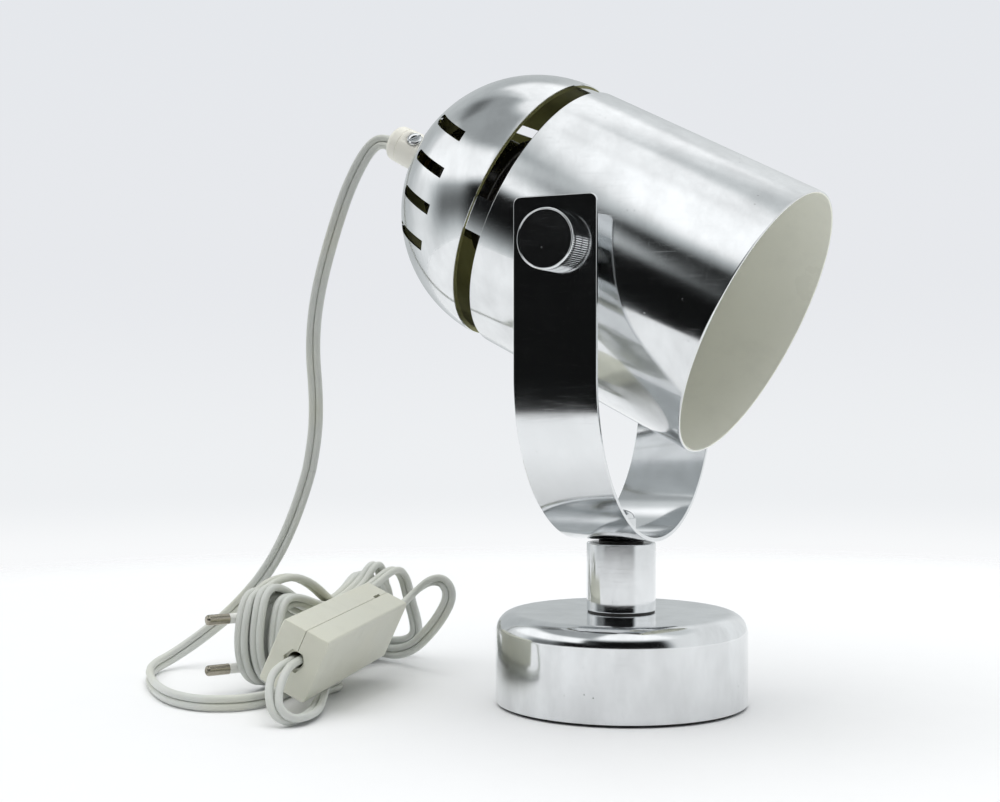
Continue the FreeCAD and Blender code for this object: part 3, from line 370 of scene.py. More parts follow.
class PlugSizes(PropertyGroup):
    width: length("Width", "Plug's width across the pins", 0.030)
    thickness: length("Thickness", "Plug's thickness", 0.0137)
    body: length("Body", "Length of the plug's body", 0.024)
    pin_spacing: length("Pin spacing", "Distance between the pins", 0.0186)
    pin_radius: length("Pin radius", "Radius of the bare pins", 0.002)
    sleeve_radius: length("Sleeve radius", "Radius of the insulated part", 0.0019)
    pin_length: length("Pin length", "Length of the pins in front of the face", 0.019)
    sleeve: length("Sleeve", "Length of the insulated part", 0.010)
    heading: angle("Heading", "Turn of the plug about the vertical", 60)


class CordSizes(PropertyGroup):
    width: length("Width", "Width of the flat twin cord", 0.0058)
    conductor: length("Conductor", "Radius of each of its two halves", 0.00145)
    sides: IntProperty(name="Sides", description="Facets round each half", default=12, min=6)
    turns: IntProperty(name="Turns", description="Turns in the wound hank", default=6, min=1)


class StageSettings(PropertyGroup):
    camera_place: FloatVectorProperty(name="Camera", description="Where the camera stands", size=3,
                                      default=(0.2124, -0.5225, 0.1085), subtype="TRANSLATION", unit="LENGTH")
    camera_heading: angle("Heading", "Turn of the camera to the left of +Y", 26.56)
    camera_pitch: angle("Pitch", "How far the camera looks down", 0.0)
    lens: FloatProperty(name="Lens", description="Focal length on a 36 mm sensor", default=56.2, unit="CAMERA")
    floor_colour: colour("Floor", "Colour of the table", (0.92, 0.925, 0.935))
    key_strength: amount("Key strength", "Strength of the soft light from above", 2.0)
    surround_strength: amount("Surround strength", "Strength of the surround in reflections", 1.0)
    fill_strength: amount("Fill strength", "Strength of the surround as light on the lamp", 0.66)


# ----------------------------------------------------------------------------- outlines and meshes
def rounded(corners, steps=5, closed=True):
    """Points and normals along an outline of (radius, height, rounding) corners.

    The outline runs anticlockwise, with the material on its left.  A corner with no rounding
    gives two points with a normal each, so it stays sharp.
    """
    made = []
    count = len(corners)
    for number, (x, z, rounding) in enumerate(corners):
        here = Vector((x, z))
        if not closed and number in (0, count - 1):
            other = corners[1] if number == 0 else corners[number - 1]
            along = Vector((other[0], other[1])) - here
            along = along.normalized() if number == 0 else -along.normalized()
            made.append((here, Vector((along.y, -along.x))))
            continue
        before, after = corners[number - 1], corners[(number + 1) % count]
        coming = (here - Vector((before[0], before[1]))).normalized()
        going = (Vector((after[0], after[1])) - here).normalized()
        first, last = Vector((coming.y, -coming.x)), Vector((going.y, -going.x))
        if rounding <= 0:
            made += [(here, first), (here, last)]
            continue
        turn = math.atan2(coming.x * going.y - coming.y * going.x, coming.dot(going))
        start = here - coming * rounding * math.tan(abs(turn) / 2)
        side = 1 if turn > 0 else -1
        centre = start - first * rounding * side
        for step in range(steps + 1):
            part = turn * step / steps
            normal = Vector((first.x * math.cos(part) - first.y * math.sin(part),
                             first.x * math.sin(part) + first.y * math.cos(part)))
            made.append((centre + normal * rounding * side, normal))
    return made


def arc(centre, radius, start, end, steps):
    """Points and outward normals along an arc, in degrees; a negative radius faces inward."""
    made = []
    for step in range(steps + 1):
        turn = math.radians(start + (end - start) * step / steps)
        way = Vector((math.cos(turn), math.sin(turn)))
        made.append((Vector(centre) + way * abs(radius), way if radius > 0 else -way))
    return made


def keep_normals(mesh, normals):
    """Smooth shading with an exact normal at every vertex."""
    mesh.polygons.foreach_set("use_smooth", [True] * len(mesh.polygons))
    mesh.normals_split_custom_set_from_vertices(normals)


def lathe(name, outline, steps=96, closed=True, where=None, paint=None):
    """Spin an outline of (point, normal) pairs about Z, and lay it in place.

    paint(number) gives the material slot of the band that starts at that outline point.
    """
    where = where or Matrix()
    turn_only = where.to_3x3()
    places, normals, rings = [], [], []
    for point, normal in outline:
        if point.x < 1e-7:
            rings.append([len(places)] * steps)
            places.append(where @ Vector((0, 0, point.y)))
            normals.append(turn_only @ Vector((0, 0, math.copysign(1, normal.y))))
            continue
        rings.append(list(range(len(places), len(places) + steps)))
        for step in range(steps):
            turn = 2 * math.pi * step / steps
            cos, sin = math.cos(turn), math.sin(turn)
            places.append(where @ Vector((point.x * cos, point.x * sin, point.y)))
            normals.append(turn_only @ Vector((normal.x * cos, normal.x * sin, normal.y)))
    faces, slots = [], []
    last = len(outline) if closed else len(outline) - 1
    for number in range(last):
        after = (number + 1) % len(outline)
        if (outline[number][0] - outline[after][0]).length < 1e-8:
            continue
        low, high = rings[number], rings[after]
        for step in range(steps):
            other = (step + 1) % steps
            face = []
            for vertex in (low[step], low[other], high[other], high[step]):
                if vertex not in face:
                    face.append(vertex)
            if len(face) > 2:
                faces.append(face)
                slots.append(paint(number) if paint else 0)
    mesh = bpy.data.meshes.new(name)
    mesh.from_pydata(places, [], faces)
    mesh.polygons.foreach_set("material_index", slots)
    keep_normals(mesh, normals)
    return mesh


def shown(name, mesh, *finishes):
    """A new piece made of a mesh, with its materials."""
    thing = bpy.data.objects.new(name, mesh)
    bpy.context.scene.collection.objects.link(thing)
    for finish in finishes:
        mesh.materials.append(bpy.data.materials[finish])
    return thing


def joined(name, meshes):
    """One mesh from several, with their normals and material slots kept."""
    places, faces, slots, normals = [], [], [], []
    for mesh in meshes:
        start = len(places)
        places += [vertex.co.copy() for vertex in mesh.vertices]
        custom = [None] * len(mesh.vertices)
        for corner, normal in zip(mesh.loops, mesh.corner_normals):
            custom[corner.vertex_index] = normal.vector.copy()
        normals += [normal or Vector((0, 0, 1)) for normal in custom]
        for polygon in mesh.polygons:
            faces.append([start + vertex for vertex in polygon.vertices])
            slots.append(polygon.material_index)
        bpy.data.meshes.remove(mesh)
    whole = bpy.data.meshes.new(name)
    whole.from_pydata(places, [], faces)
    whole.polygons.foreach_set("material_index", slots)
    keep_normals(whole, normals)
    return whole


def fused(*meshes):
    """The bmesh of a mesh or of several, for more work on it."""
    work = bmesh.new()
    for mesh in meshes:
        work.from_mesh(mesh)
    return work


def facing_out(mesh, weld=False):
    """Turn every face outward; weld first merges the points that lie together."""
    work = fused(mesh)
    if weld:
        bmesh.ops.remove_doubles(work, verts=work.verts, dist=1e-7)
    bmesh.ops.recalc_face_normals(work, faces=work.faces)
    work.to_mesh(mesh)
    work.free()
    return mesh


def tube_faces(rows, steps, start=0):
    """The four-sided faces between neighbouring rings of points."""
    faces = []
    for row in range(rows - 1):
        for step in range(steps):
            after = (step + 1) % steps
            faces.append([start + row * steps + step, start + row * steps + after,
                          start + (row + 1) * steps + after, start + (row + 1) * steps + step])
    return faces


def carved(name, mesh, tools):
    """Cut each tool's shape out of a mesh."""
    body = bpy.data.objects.new(name + "_blank", mesh)
    bpy.context.scene.collection.objects.link(body)
    cutters = []
    for number, tool in enumerate(tools):
        cutter = bpy.data.objects.new("%s_cutter_%d" % (name, number), tool)
        bpy.context.scene.collection.objects.link(cutter)
        cutters.append(cutter)
        cut = body.modifiers.new(cutter.name, "BOOLEAN")
        cut.operation = "DIFFERENCE"
        cut.solver = "EXACT"
        cut.object = cutter
    bpy.context.view_layer.update()
    made = bpy.data.meshes.new_from_object(body.evaluated_get(bpy.context.evaluated_depsgraph_get()))
    made.name = name
    for thing in [body] + cutters:
        old = thing.data
        bpy.data.objects.remove(thing)
        bpy.data.meshes.remove(old)
    if not made.polygons:
        raise RuntimeError("nothing is left of " + name)
    return made


def crisp(mesh, degrees=32):
    """Smooth shading, broken at edges that turn by more than this."""
    mesh.polygons.foreach_set("use_smooth", [True] * len(mesh.polygons))
    mesh.set_sharp_from_angle(angle=math.radians(degrees))
    return mesh


def even_shading(thing):
    """Let the large flat faces set the normals next to their rounded edges."""
    weight = thing.modifiers.new("even_shading", "WEIGHTED_NORMAL")
    weight.keep_sharp = True
    weight.weight = 80


def prism(name, outline, low, high, where=None):
    """A flat outline of (x, y) points raised from low to high along Z."""
    where = where or Matrix()
    count = len(outline)
    places = [where @ Vector((x, y, z)) for z in (low, high) for x, y in outline]
    faces = [list(range(count))[::-1], list(range(count, 2 * count))]
    for number in range(count):
        other = (number + 1) % count
        faces.append([number, other, count + other, count + number])
    mesh = bpy.data.meshes.new(name)
    mesh.from_pydata(places, [], faces)
    return facing_out(mesh)


def round_outline(radius, steps, start=0.0, across=1.0):
    """Points round a circle, or round an oval whose second axis is scaled."""
    return [(radius * math.cos(start + 2 * math.pi * n / steps),
             across * radius * math.sin(start + 2 * math.pi * n / steps)) for n in range(steps)]


ALONG_MINUS_Y = Matrix.Rotation(math.radians(90), 4, "X")
ALONG_PLUS_Y = Matrix.Rotation(math.radians(-90), 4, "X")
ALONG_PLUS_X = Matrix.Rotation(math.radians(90), 4, "Y")


def joint(name):
    """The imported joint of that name."""
    return [row for row in frame["joints"] if row["name"] == name][0]


def head_place(scene, roll=0.0):
    """From a head piece's own frame to the lamp's."""
    pivot = Matrix.Translation(joint("head_tilt")["pos_m"])
    laid = Matrix.Rotation(math.pi / 2 + scene.lamp_head.tilt, 4, "Y")
    return pivot @ laid @ Matrix.Rotation(roll, 4, "Z")


# ----------------------------------------------------------------------------- node trees
def add_node(tree, kind, sockets=None, **settings):
    """A shader node; a socket is set to a value, or linked when it is given an output."""
    node = tree.nodes.new("ShaderNode" + kind)
    for name, setting in settings.items():
        setattr(node, name, setting)
    for name, given in (sockets or {}).items():
        if isinstance(given, bpy.types.NodeSocket):
            tree.links.new(given, node.inputs[name])
        else:
            node.inputs[name].default_value = given
    return node


def sum_of(tree, kind, first, second):
    """Two values added, subtracted or multiplied, as kind says."""
    return add_node(tree, "Math", {0: first, 1: second}, operation=kind).outputs[0]


def noise(tree, vector, scale, detail=2.0, roughness=0.5):
    """A cloudy value from nought to one."""
    return add_node(tree, "TexNoise", {"Vector": vector, "Scale": scale, "Detail": detail,
                                       "Roughness": roughness}).outputs["Fac"]


def spread(tree, given, low, high, low_out, high_out, smooth=False):
    """Take a value from one range to another, held at the ends."""
    kind = "SMOOTHSTEP" if smooth else "LINEAR"
    return add_node(tree, "MapRange", {0: given, 1: low, 2: high, 3: low_out, 4: high_out},
                    interpolation_type=kind).outputs[0]


def blend_colours(tree, how_much, first, second):
    """The first colour, turned into the second by a share."""
    return add_node(tree, "Mix", {0: how_much, 6: first, 7: second}, data_type="RGBA").outputs[2]


def rgba(values, scale=1.0):
    return tuple(scale * value for value in values) + (1.0,)


def finish(name, roughness, metallic=0.0):
    """A new material with its shader, its node tree and the place of each point in the lamp."""
    material = bpy.data.materials.new(name)
    if material.name != name:
        raise RuntimeError("there is already a material called " + name)
    material.use_nodes = True
    tree = material.node_tree
    shader = tree.nodes["Principled BSDF"]
    shader.inputs["Roughness"].default_value = roughness
    shader.inputs["Metallic"].default_value = metallic
    where = add_node(tree, "TexCoord").outputs["Object"]
    return tree, shader, where


def stretched(tree, where, scale):
    """The place of each point, scaled along each axis."""
    return add_node(tree, "Mapping", {"Vector": where, "Scale": scale}).outputs[0]


def bumped(tree, shader, height, strength, distance):
    bump = add_node(tree, "Bump", {"Height": height, "Strength": strength, "Distance": distance})
    tree.links.new(bump.outputs[0], shader.inputs["Normal"])


def worn_metal(name, base, roughness, grime, ripple):
    """Bright metal with fine hair scratches, dull patches, small pits and a slightly uneven skin."""
    tree, shader, where = finish(name, roughness, 1.0)
    patches = noise(tree, where, 42.0, 3.0)
    haze = noise(tree, where, 9.0, 2.0)
    hairs = noise(tree, stretched(tree, where, (150.0, 150.0, 2600.0)), 1.0, 2.0)
    cross_hairs = noise(tree, stretched(tree, where, (2900.0, 260.0, 180.0)), 1.0, 1.0)
    scratch = add_node(tree, "Math", {0: spread(tree, hairs, 0.60, 0.76, 0.0, 1.0),
                                      1: spread(tree, cross_hairs, 0.66, 0.80, 0.0, 1.0)},
                       operation="MAXIMUM").outputs[0]
    pits = add_node(tree, "TexVoronoi", {"Vector": where, "Scale": 260.0}).outputs["Distance"]
    rare = spread(tree, noise(tree, where, 70.0, 1.0), 0.60, 0.70, 0.0, 1.0)
    pit = sum_of(tree, "MULTIPLY", spread(tree, pits, 0.05, 0.10, 1.0, 0.0), rare)
    dull = sum_of(tree, "MULTIPLY", spread(tree, patches, 0.45, 0.75, 0.0, 1.0), 0.055)
    rough = sum_of(tree, "ADD", sum_of(tree, "MULTIPLY", scratch, 0.08), dull)
    rough = sum_of(tree, "ADD", rough, spread(tree, haze, 0.35, 0.7, roughness, roughness + 0.03))
    wipes = spread(tree, noise(tree, stretched(tree, where, (18.0, 18.0, 420.0)), 1.0, 3.0), 0.5, 0.8, 0.0, 0.04)
    rough = sum_of(tree, "ADD", rough, wipes)
    rough = sum_of(tree, "ADD", rough, sum_of(tree, "MULTIPLY", pit, 0.25))
    tree.links.new(rough, shader.inputs["Roughness"])
    clouds = noise(tree, stretched(tree, where, (1.0, 1.0, 0.45)), 95.0, 4.0, 0.6)
    tone = blend_colours(tree, spread(tree, patches, 0.4, 0.8, 0.0, 0.5), rgba(base), rgba(base, grime))
    tone = blend_colours(tree, spread(tree, clouds, 0.38, 0.66, 0.0, 0.6), tone, rgba(base, grime))
    tone = blend_colours(tree, sum_of(tree, "MULTIPLY", pit, 0.7), tone, rgba(base, 0.25))
    tree.links.new(tone, shader.inputs["Base Color"])
    skin = sum_of(tree, "MULTIPLY", noise(tree, where, 26.0, 1.0), ripple)
    skin = sum_of(tree, "ADD", skin, sum_of(tree, "MULTIPLY", noise(tree, where, 420.0, 1.0), 0.012))
    bumped(tree, shader, sum_of(tree, "SUBTRACT", skin, sum_of(tree, "MULTIPLY", pit, 0.05)), 0.25, 0.0004)
    return shader


def moulded(name, base, roughness, dirt=0.82, grain=900.0, gloss_change=0.12, relief=0.02, aged=(1.0, 1.0, 1.0)):
    """Moulded plastic, enamel or glazed ware: a fine grain, faint flow marks, dust and rubbed spots."""
    tree, shader, where = finish(name, roughness)
    flow = noise(tree, where, 30.0, 3.0)
    fine = noise(tree, where, grain, 2.0)
    dust = spread(tree, noise(tree, where, 120.0, 4.0, 0.7), 0.5, 0.78, 0.0, 1.0)
    tone = blend_colours(tree, spread(tree, flow, 0.3, 0.7, 0.0, 0.5), rgba(base), rgba(base, dirt))
    tone = blend_colours(tree, sum_of(tree, "MULTIPLY", dust, 0.25), tone, rgba(base, dirt * 0.85))
    yellowed = tuple(value * share_left for value, share_left in zip(base, aged))
    tone = blend_colours(tree, spread(tree, noise(tree, where, 22.0, 2.0), 0.45, 0.68, 0.0, 1.0), tone, rgba(yellowed))
    tree.links.new(tone, shader.inputs["Base Color"])
    shine = spread(tree, flow, 0.3, 0.7, roughness - gloss_change / 2, roughness + gloss_change / 2)
    rough = sum_of(tree, "ADD", shine, sum_of(tree, "MULTIPLY", dust, gloss_change))
    tree.links.new(rough, shader.inputs["Roughness"])
    bumped(tree, shader, sum_of(tree, "ADD", fine, sum_of(tree, "MULTIPLY", flow, 2.0)), relief, 0.0005)
    return shader


class LAMP_OT_finishes(Operator):
    """Make the materials of all the pieces"""
    bl_idname = "lamp.finishes"
    bl_label = "Finishes"

    def execute(self, context):
        looks = context.scene.lamp_finishes
        worn_metal("plated_chrome", looks.chrome, looks.chrome_roughness, 0.76, 0.9)
        worn_metal("strap_chrome", looks.chrome, looks.chrome_roughness, 0.92, 0.25)
        worn_metal("turned_chrome", looks.chrome, looks.chrome_roughness + 0.03, 0.85, 0.1)
        worn_metal("bare_brass", looks.brass, 0.26, 0.65, 0.2)
        worn_metal("plain_steel", looks.steel, 0.30, 0.7, 0.2)
        worn_metal("pin_nickel", (0.42, 0.39, 0.32), 0.24, 0.6, 0.2)
        # Tarnish inside the dome, and painted shade on the rim's step in the slot.
        worn_metal("olive_tarnish", looks.tarnish_and_ledge_shade, 0.34, 0.55, 0.6)
        moulded("cast_iron", (0.055, 0.053, 0.050), 0.62, 0.6, 500.0, 0.1, 0.5)
        moulded("foot_rubber", (0.030, 0.030, 0.029), 0.66, 0.7, 700.0, 0.1, 0.2)
        moulded("dark_fibre", (0.035, 0.034, 0.032), 0.55, 0.7, 1200.0, 0.1, 0.2)
        moulded("inside_enamel", looks.inside_paint, 0.30, 0.95, 600.0, 0.08, 0.02)
        moulded("ivory_moulding", looks.ivory, 0.30, 0.95)
        moulded("white_moulding", (0.80, 0.80, 0.78), 0.33, 0.92)
        moulded("switch_moulding", looks.grey_plastic, 0.32, 0.95, 1500.0, 0.08, 0.04, (1.0, 0.99, 0.96))
        moulded("cord_vinyl", looks.cord_plastic, 0.33, 0.90, 1800.0, 0.1, 0.05, (0.97, 0.95, 0.86))
        moulded("sleeve_moulding", (0.80, 0.80, 0.77), 0.38, 0.93)
        moulded("black_bakelite", looks.bakelite, 0.24, 0.6, 700.0, 0.1, 0.02)
        moulded("glazed_porcelain", (0.78, 0.77, 0.73), 0.22, 0.9, 300.0, 0.08, 0.02)
        return {"FINISHED"}


# ----------------------------------------------------------------------------- base and stem
class LAMP_OT_base(Operator):
    """Build the drawn base cover and its rubber foot"""
    bl_idname = "lamp.base"
    bl_label = "Base"

    def execute(self, context):
        size = context.scene.lamp_base
        inner, under = size.radius - size.wall, size.height - size.wall
        outline = rounded([
            (size.hole, size.height, 0.2 * MM), (size.hole, under, 0.2 * MM),
            (inner, under, size.corner - size.wall), (inner, size.reveal, 0.25 * MM),
            (size.radius, size.reveal, 0.35 * MM), (size.radius, size.height, size.corner),
        ], steps=14)
        cover = shown("base_cover_drawn", lathe("base_cover_drawn", outline, 160), "plated_chrome")
        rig.ride(cover, "base")
        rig.replaces(cover, "base_cover")
        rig.slot(cover, "chrome")

        pad_radius, pad_top = top_of("foot_pad")[0], top_of("foot_pad")[2]
        outline = rounded([
            (0, 0.5 * MM, 0), (20 * MM, 0.5 * MM, 0.2 * MM), (20.5 * MM, 0, 0.2 * MM),
            (pad_radius, 0, 0.5 * MM), (pad_radius, pad_top, 0.3 * MM), (0, pad_top, 0),
        ], closed=False)
        pad = shown("foot_pad_moulded", lathe("foot_pad_moulded", outline, 120, closed=False), "foot_rubber")
        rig.ride(pad, "base")
        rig.replaces(pad, "foot_pad")
        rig.slot(pad, "pad")
        return {"FINISHED"}


class LAMP_OT_stem(Operator):
    """Build the stem tube that carries the yoke"""
    bl_idname = "lamp.stem"
    bl_label = "Stem"

    def execute(self, context):
        size = context.scene.lamp_stem
        inner = size.radius - size.wall
        outline = rounded([
            (inner, size.top, 0.25 * MM), (inner, size.bottom, 0.2 * MM),
            (size.radius, size.bottom, 0.4 * MM), (size.radius, size.top, 0.45 * MM),
        ])
        tube = shown("stem_polished", lathe("stem_polished", outline, 96), "plated_chrome")
        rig.ride(tube, "base")
        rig.replaces(tube, "stem_tube")
        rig.slot(tube, "chrome")
        return {"FINISHED"}


# ----------------------------------------------------------------------------- yoke
def strap_edge(half_width, half_run, corner, steps=6):
    """One rounded corner of the flat strap's end, as (place, outward way) pairs."""
    side = []
    for step in range(steps + 1):
        turn = math.pi / 2 * step / steps
        way = Vector((math.cos(turn), math.sin(turn)))
        side.append((Vector((half_width - corner, half_run - corner)) + way * corner, way))
    return side


# How far the strap's shading turns ahead of its shape, at most, where each arm eases into the bend.
EASING_TURN = 0.14


def yoke_mesh(size):
    """The strap: a flat ribbon with rounded cut edges, bent into a U."""
    half_thick = size.thickness / 2
    bend = size.half_span - half_thick
    bend_height = size.bottom + size.half_span
    quarter = bend * math.pi / 2
    half_run = quarter + size.top - bend_height
    half_width = size.width / 2
    corner_rows = strap_edge(half_width, half_run, size.corner)
    straight = half_run - size.corner
    runs = [quarter * step / 40 for step in range(41)]
    runs += [quarter + (straight - quarter) * step / 6 for step in range(1, 6)]
    half_rows = [(Vector((half_width, run)), Vector((1, 0))) for run in runs] + corner_rows
    rows = [(Vector((p.x, -p.y)), Vector((w.x, -w.y))) for p, w in reversed(half_rows[1:])] + half_rows

    def bent(across, along, out):
        if abs(along) <= quarter:
            turn = along / bend
            radius = bend + out
            return Vector((across, radius * math.sin(turn), bend_height - radius * math.cos(turn)))
        sign = math.copysign(1, along)
        return Vector((across, sign * (bend + out), bend_height + abs(along) - quarter))

    def turned(across, along, out, at):
        turn = max(-quarter, min(quarter, at)) / bend
        fall = math.pi / 2 - abs(turn)
        if fall < size.easing:
            turn += math.copysign(EASING_TURN * math.sin(math.pi * fall / size.easing) ** 2, turn)
        out_way = Vector((0, math.sin(turn), -math.cos(turn)))
        on_way = Vector((0, math.cos(turn), math.sin(turn)))
        return (Vector((1, 0, 0)) * across + on_way * along + out_way * out).normalized()

    steps = 4
    edge = []
    for step in range(steps + 1):
        turn = math.pi / 2 * step / steps
        edge.append((size.edge * (1 - math.sin(turn)), half_thick - size.edge * (1 - math.cos(turn)), turn))
    profile = [(inset, out, math.sin(turn), math.cos(turn)) for inset, out, turn in edge]
    profile += [(inset, -out, across, -face) for inset, out, across, face in reversed(profile)]
    count = len(profile)

    places, normals, faces = [], [], []
    loops = []
    right = rows
    left = [(Vector((-p.x, p.y)), Vector((-w.x, w.y))) for p, w in rows]
    for point, way in right + list(reversed(left)):
        loop = []
        for inset, out, across, face in profile:
            spot = point - way * inset
            loop.append(len(places))
            places.append(bent(spot.x, spot.y, out))
            normals.append(turned(way.x * across, way.y * across, face, point.y))
        loops.append(loop)
    total = len(loops)
    for number in range(total):
        here, there = loops[number], loops[(number + 1) % total]
        for step in range(count - 1):
            faces.append([here[step], there[step], there[step + 1], here[step + 1]])
    row_count = len(rows)
    for number in range(row_count - 1):
        right_here, right_there = loops[number], loops[number + 1]
        left_here, left_there = loops[total - 1 - number], loops[total - 2 - number]
        faces.append([right_here[0], left_here[0], left_there[0], right_there[0]])
        faces.append([right_here[-1], right_there[-1], left_there[-1], left_here[-1]])
    mesh = bpy.data.meshes.new("yoke_strap_bent")
    mesh.from_pydata(places, [], faces)
    keep_normals(mesh, normals)
    return mesh


class LAMP_OT_yoke(Operator):
    """Build the bent yoke strap, its clamp washer and the cap nut"""
    bl_idname = "lamp.yoke"
    bl_label = "Yoke"

    def execute(self, context):
        size = context.scene.lamp_yoke
        strap = shown("yoke_strap_bent", yoke_mesh(size), "strap_chrome")
        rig.ride(strap, "yoke")
        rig.replaces(strap, "yoke_strap")
        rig.slot(strap, "chrome")

        washer_low, washer_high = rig.box("clamp_washer")
        outline = rounded([
            (3.25 * MM, washer_high[2], 0.1 * MM), (3.25 * MM, washer_low[2], 0.1 * MM),
            (washer_high[0], washer_low[2], 0.15 * MM), (washer_high[0], washer_high[2], 0.3 * MM),
        ], steps=3)
        washer = shown("clamp_washer_turned", lathe("clamp_washer_turned", outline, 48), "plain_steel")
        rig.ride(washer, "base")
        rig.replaces(washer, "clamp_washer")
        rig.slot(washer, "steel")

        low = bottom_of("cap_nut")[2]
        corner = size.nut_flats / math.sqrt(3)
        flats = prism("cap_nut_flats", round_outline(corner, 6), low, low + size.nut_height)
        work = fused(flats)
        bmesh.ops.bevel(work, geom=list(work.edges), offset=0.25 * MM, segments=3, profile=0.5, affect="EDGES")
        work.to_mesh(flats)
        work.free()
        crisp(flats, 40)
        sunk = 0.15 * MM
        crown, foot, rise = size.nut_flats / 2 - 0.2 * MM, low + size.nut_height - sunk, size.nut_dome + sunk
        dome = [(Vector((crown * math.cos(turn), foot + rise * math.sin(turn))),
                 Vector((math.cos(turn), math.sin(turn))))
                for turn in [math.pi / 2 * step / 8 for step in range(9)]]
        dome[-1] = (Vector((0, dome[-1][0].y)), Vector((0, 1)))
        crown_mesh = lathe("cap_nut_crown", dome, 48, closed=False)
        nut = shown("cap_nut_domed", joined("cap_nut_domed", [flats, crown_mesh]), "turned_chrome")
        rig.ride(nut, "base")
        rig.replaces(nut, "cap_nut")
        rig.slot(nut, "chrome")
        return {"FINISHED"}


# ----------------------------------------------------------------------------- head shells
class LAMP_OT_shade(Operator):
    """Build the cylindrical shade, chromed outside and enamelled inside"""
    bl_idname = "lamp.shade"
    bl_label = "Shade"

    def execute(self, context):
        size = context.scene.lamp_head
        inner = size.radius - size.wall
        outline = rounded([
            (inner, size.mouth, 0.35 * MM), (inner, size.shade_back, 0.25 * MM),
            (size.radius, size.shade_back, 0.3 * MM), (size.radius, size.mouth, 0.5 * MM),
        ], steps=5)
        enamelled = list(range(6)) + [len(outline) - 1]

        def paint(number):
            return 1 if number in enamelled else 0

        mesh = lathe("shade_drawn", outline, 192, where=head_place(context.scene), paint=paint)
        shade = shown("shade_drawn", mesh, "plated_chrome", "inside_enamel")
        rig.ride(shade, "head")
        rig.replaces(shade, "shade_tube")
        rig.slot(shade, "chrome")
        return {"FINISHED"}


def vent_cutter(size, turn, offset):
    """The shape of one vent: parallel sides, a square front and a round back end."""
    half = size.vent_width / 2
    back = size.vent_back + half
    points = [(-half, size.vent_front), (half, size.vent_front)]
    points += [(half * math.cos(bend), back - half * math.sin(bend))
               for bend in [math.pi * step / 10 for step in range(11)]]
    outward = Matrix(((0, 0, 1, 0), (1, 0, 0, 0), (0, 1, 0, 0), (0, 0, 0, 1)))
    return prism("vent_cutter", points, 0.3 * size.radius, size.radius + size.wall,
                 Matrix.Rotation(turn, 4, "Z") @ Matrix.Translation((0, offset, 0)) @ outward)


def slot_cutter(size, start, end):
    """The shape of one long slot between the dome and the shade."""
    steps = 48
    turns = [start + (end - start) * step / steps for step in range(steps + 1)]
    outer, inner = size.radius + size.wall, 0.8 * size.radius
    outline = [(outer * math.cos(turn), outer * math.sin(turn)) for turn in turns]
    outline += [(inner * math.cos(turn), inner * math.sin(turn)) for turn in reversed(turns)]
    return prism("slot_cutter", outline, size.dome_rim + 0.02 * MM, size.shade_back)


def dome_normals(mesh, size):
    """Exact normals on the dome's ball and skirt, and flat ones on the cut edges."""
    centre = Vector((0, 0, size.dome_rim))
    ball_inner = size.radius - size.wall
    skirt_inner = size.skirt_radius - size.wall
    normals = [None] * len(mesh.loops)
    for polygon in mesh.polygons:
        for corner in polygon.loop_indices:
            spot = mesh.vertices[mesh.loops[corner].vertex_index].co
            out = (spot - centre).normalized()
            side = Vector((spot.x, spot.y, 0)).normalized()
            reach, across = (spot - centre).length, Vector((spot.x, spot.y)).length
            chosen = polygon.normal.copy()
            for gap, way in ((reach - size.radius, out), (reach - ball_inner, -out),
                             (across - size.skirt_radius, side), (across - skirt_inner, -side)):
                if abs(gap) < 0.03 * MM and way.dot(polygon.normal) > 0.97:
                    chosen = way
            normals[corner] = chosen
    mesh.polygons.foreach_set("use_smooth", [True] * len(mesh.polygons))
    mesh.normals_split_custom_set(normals)


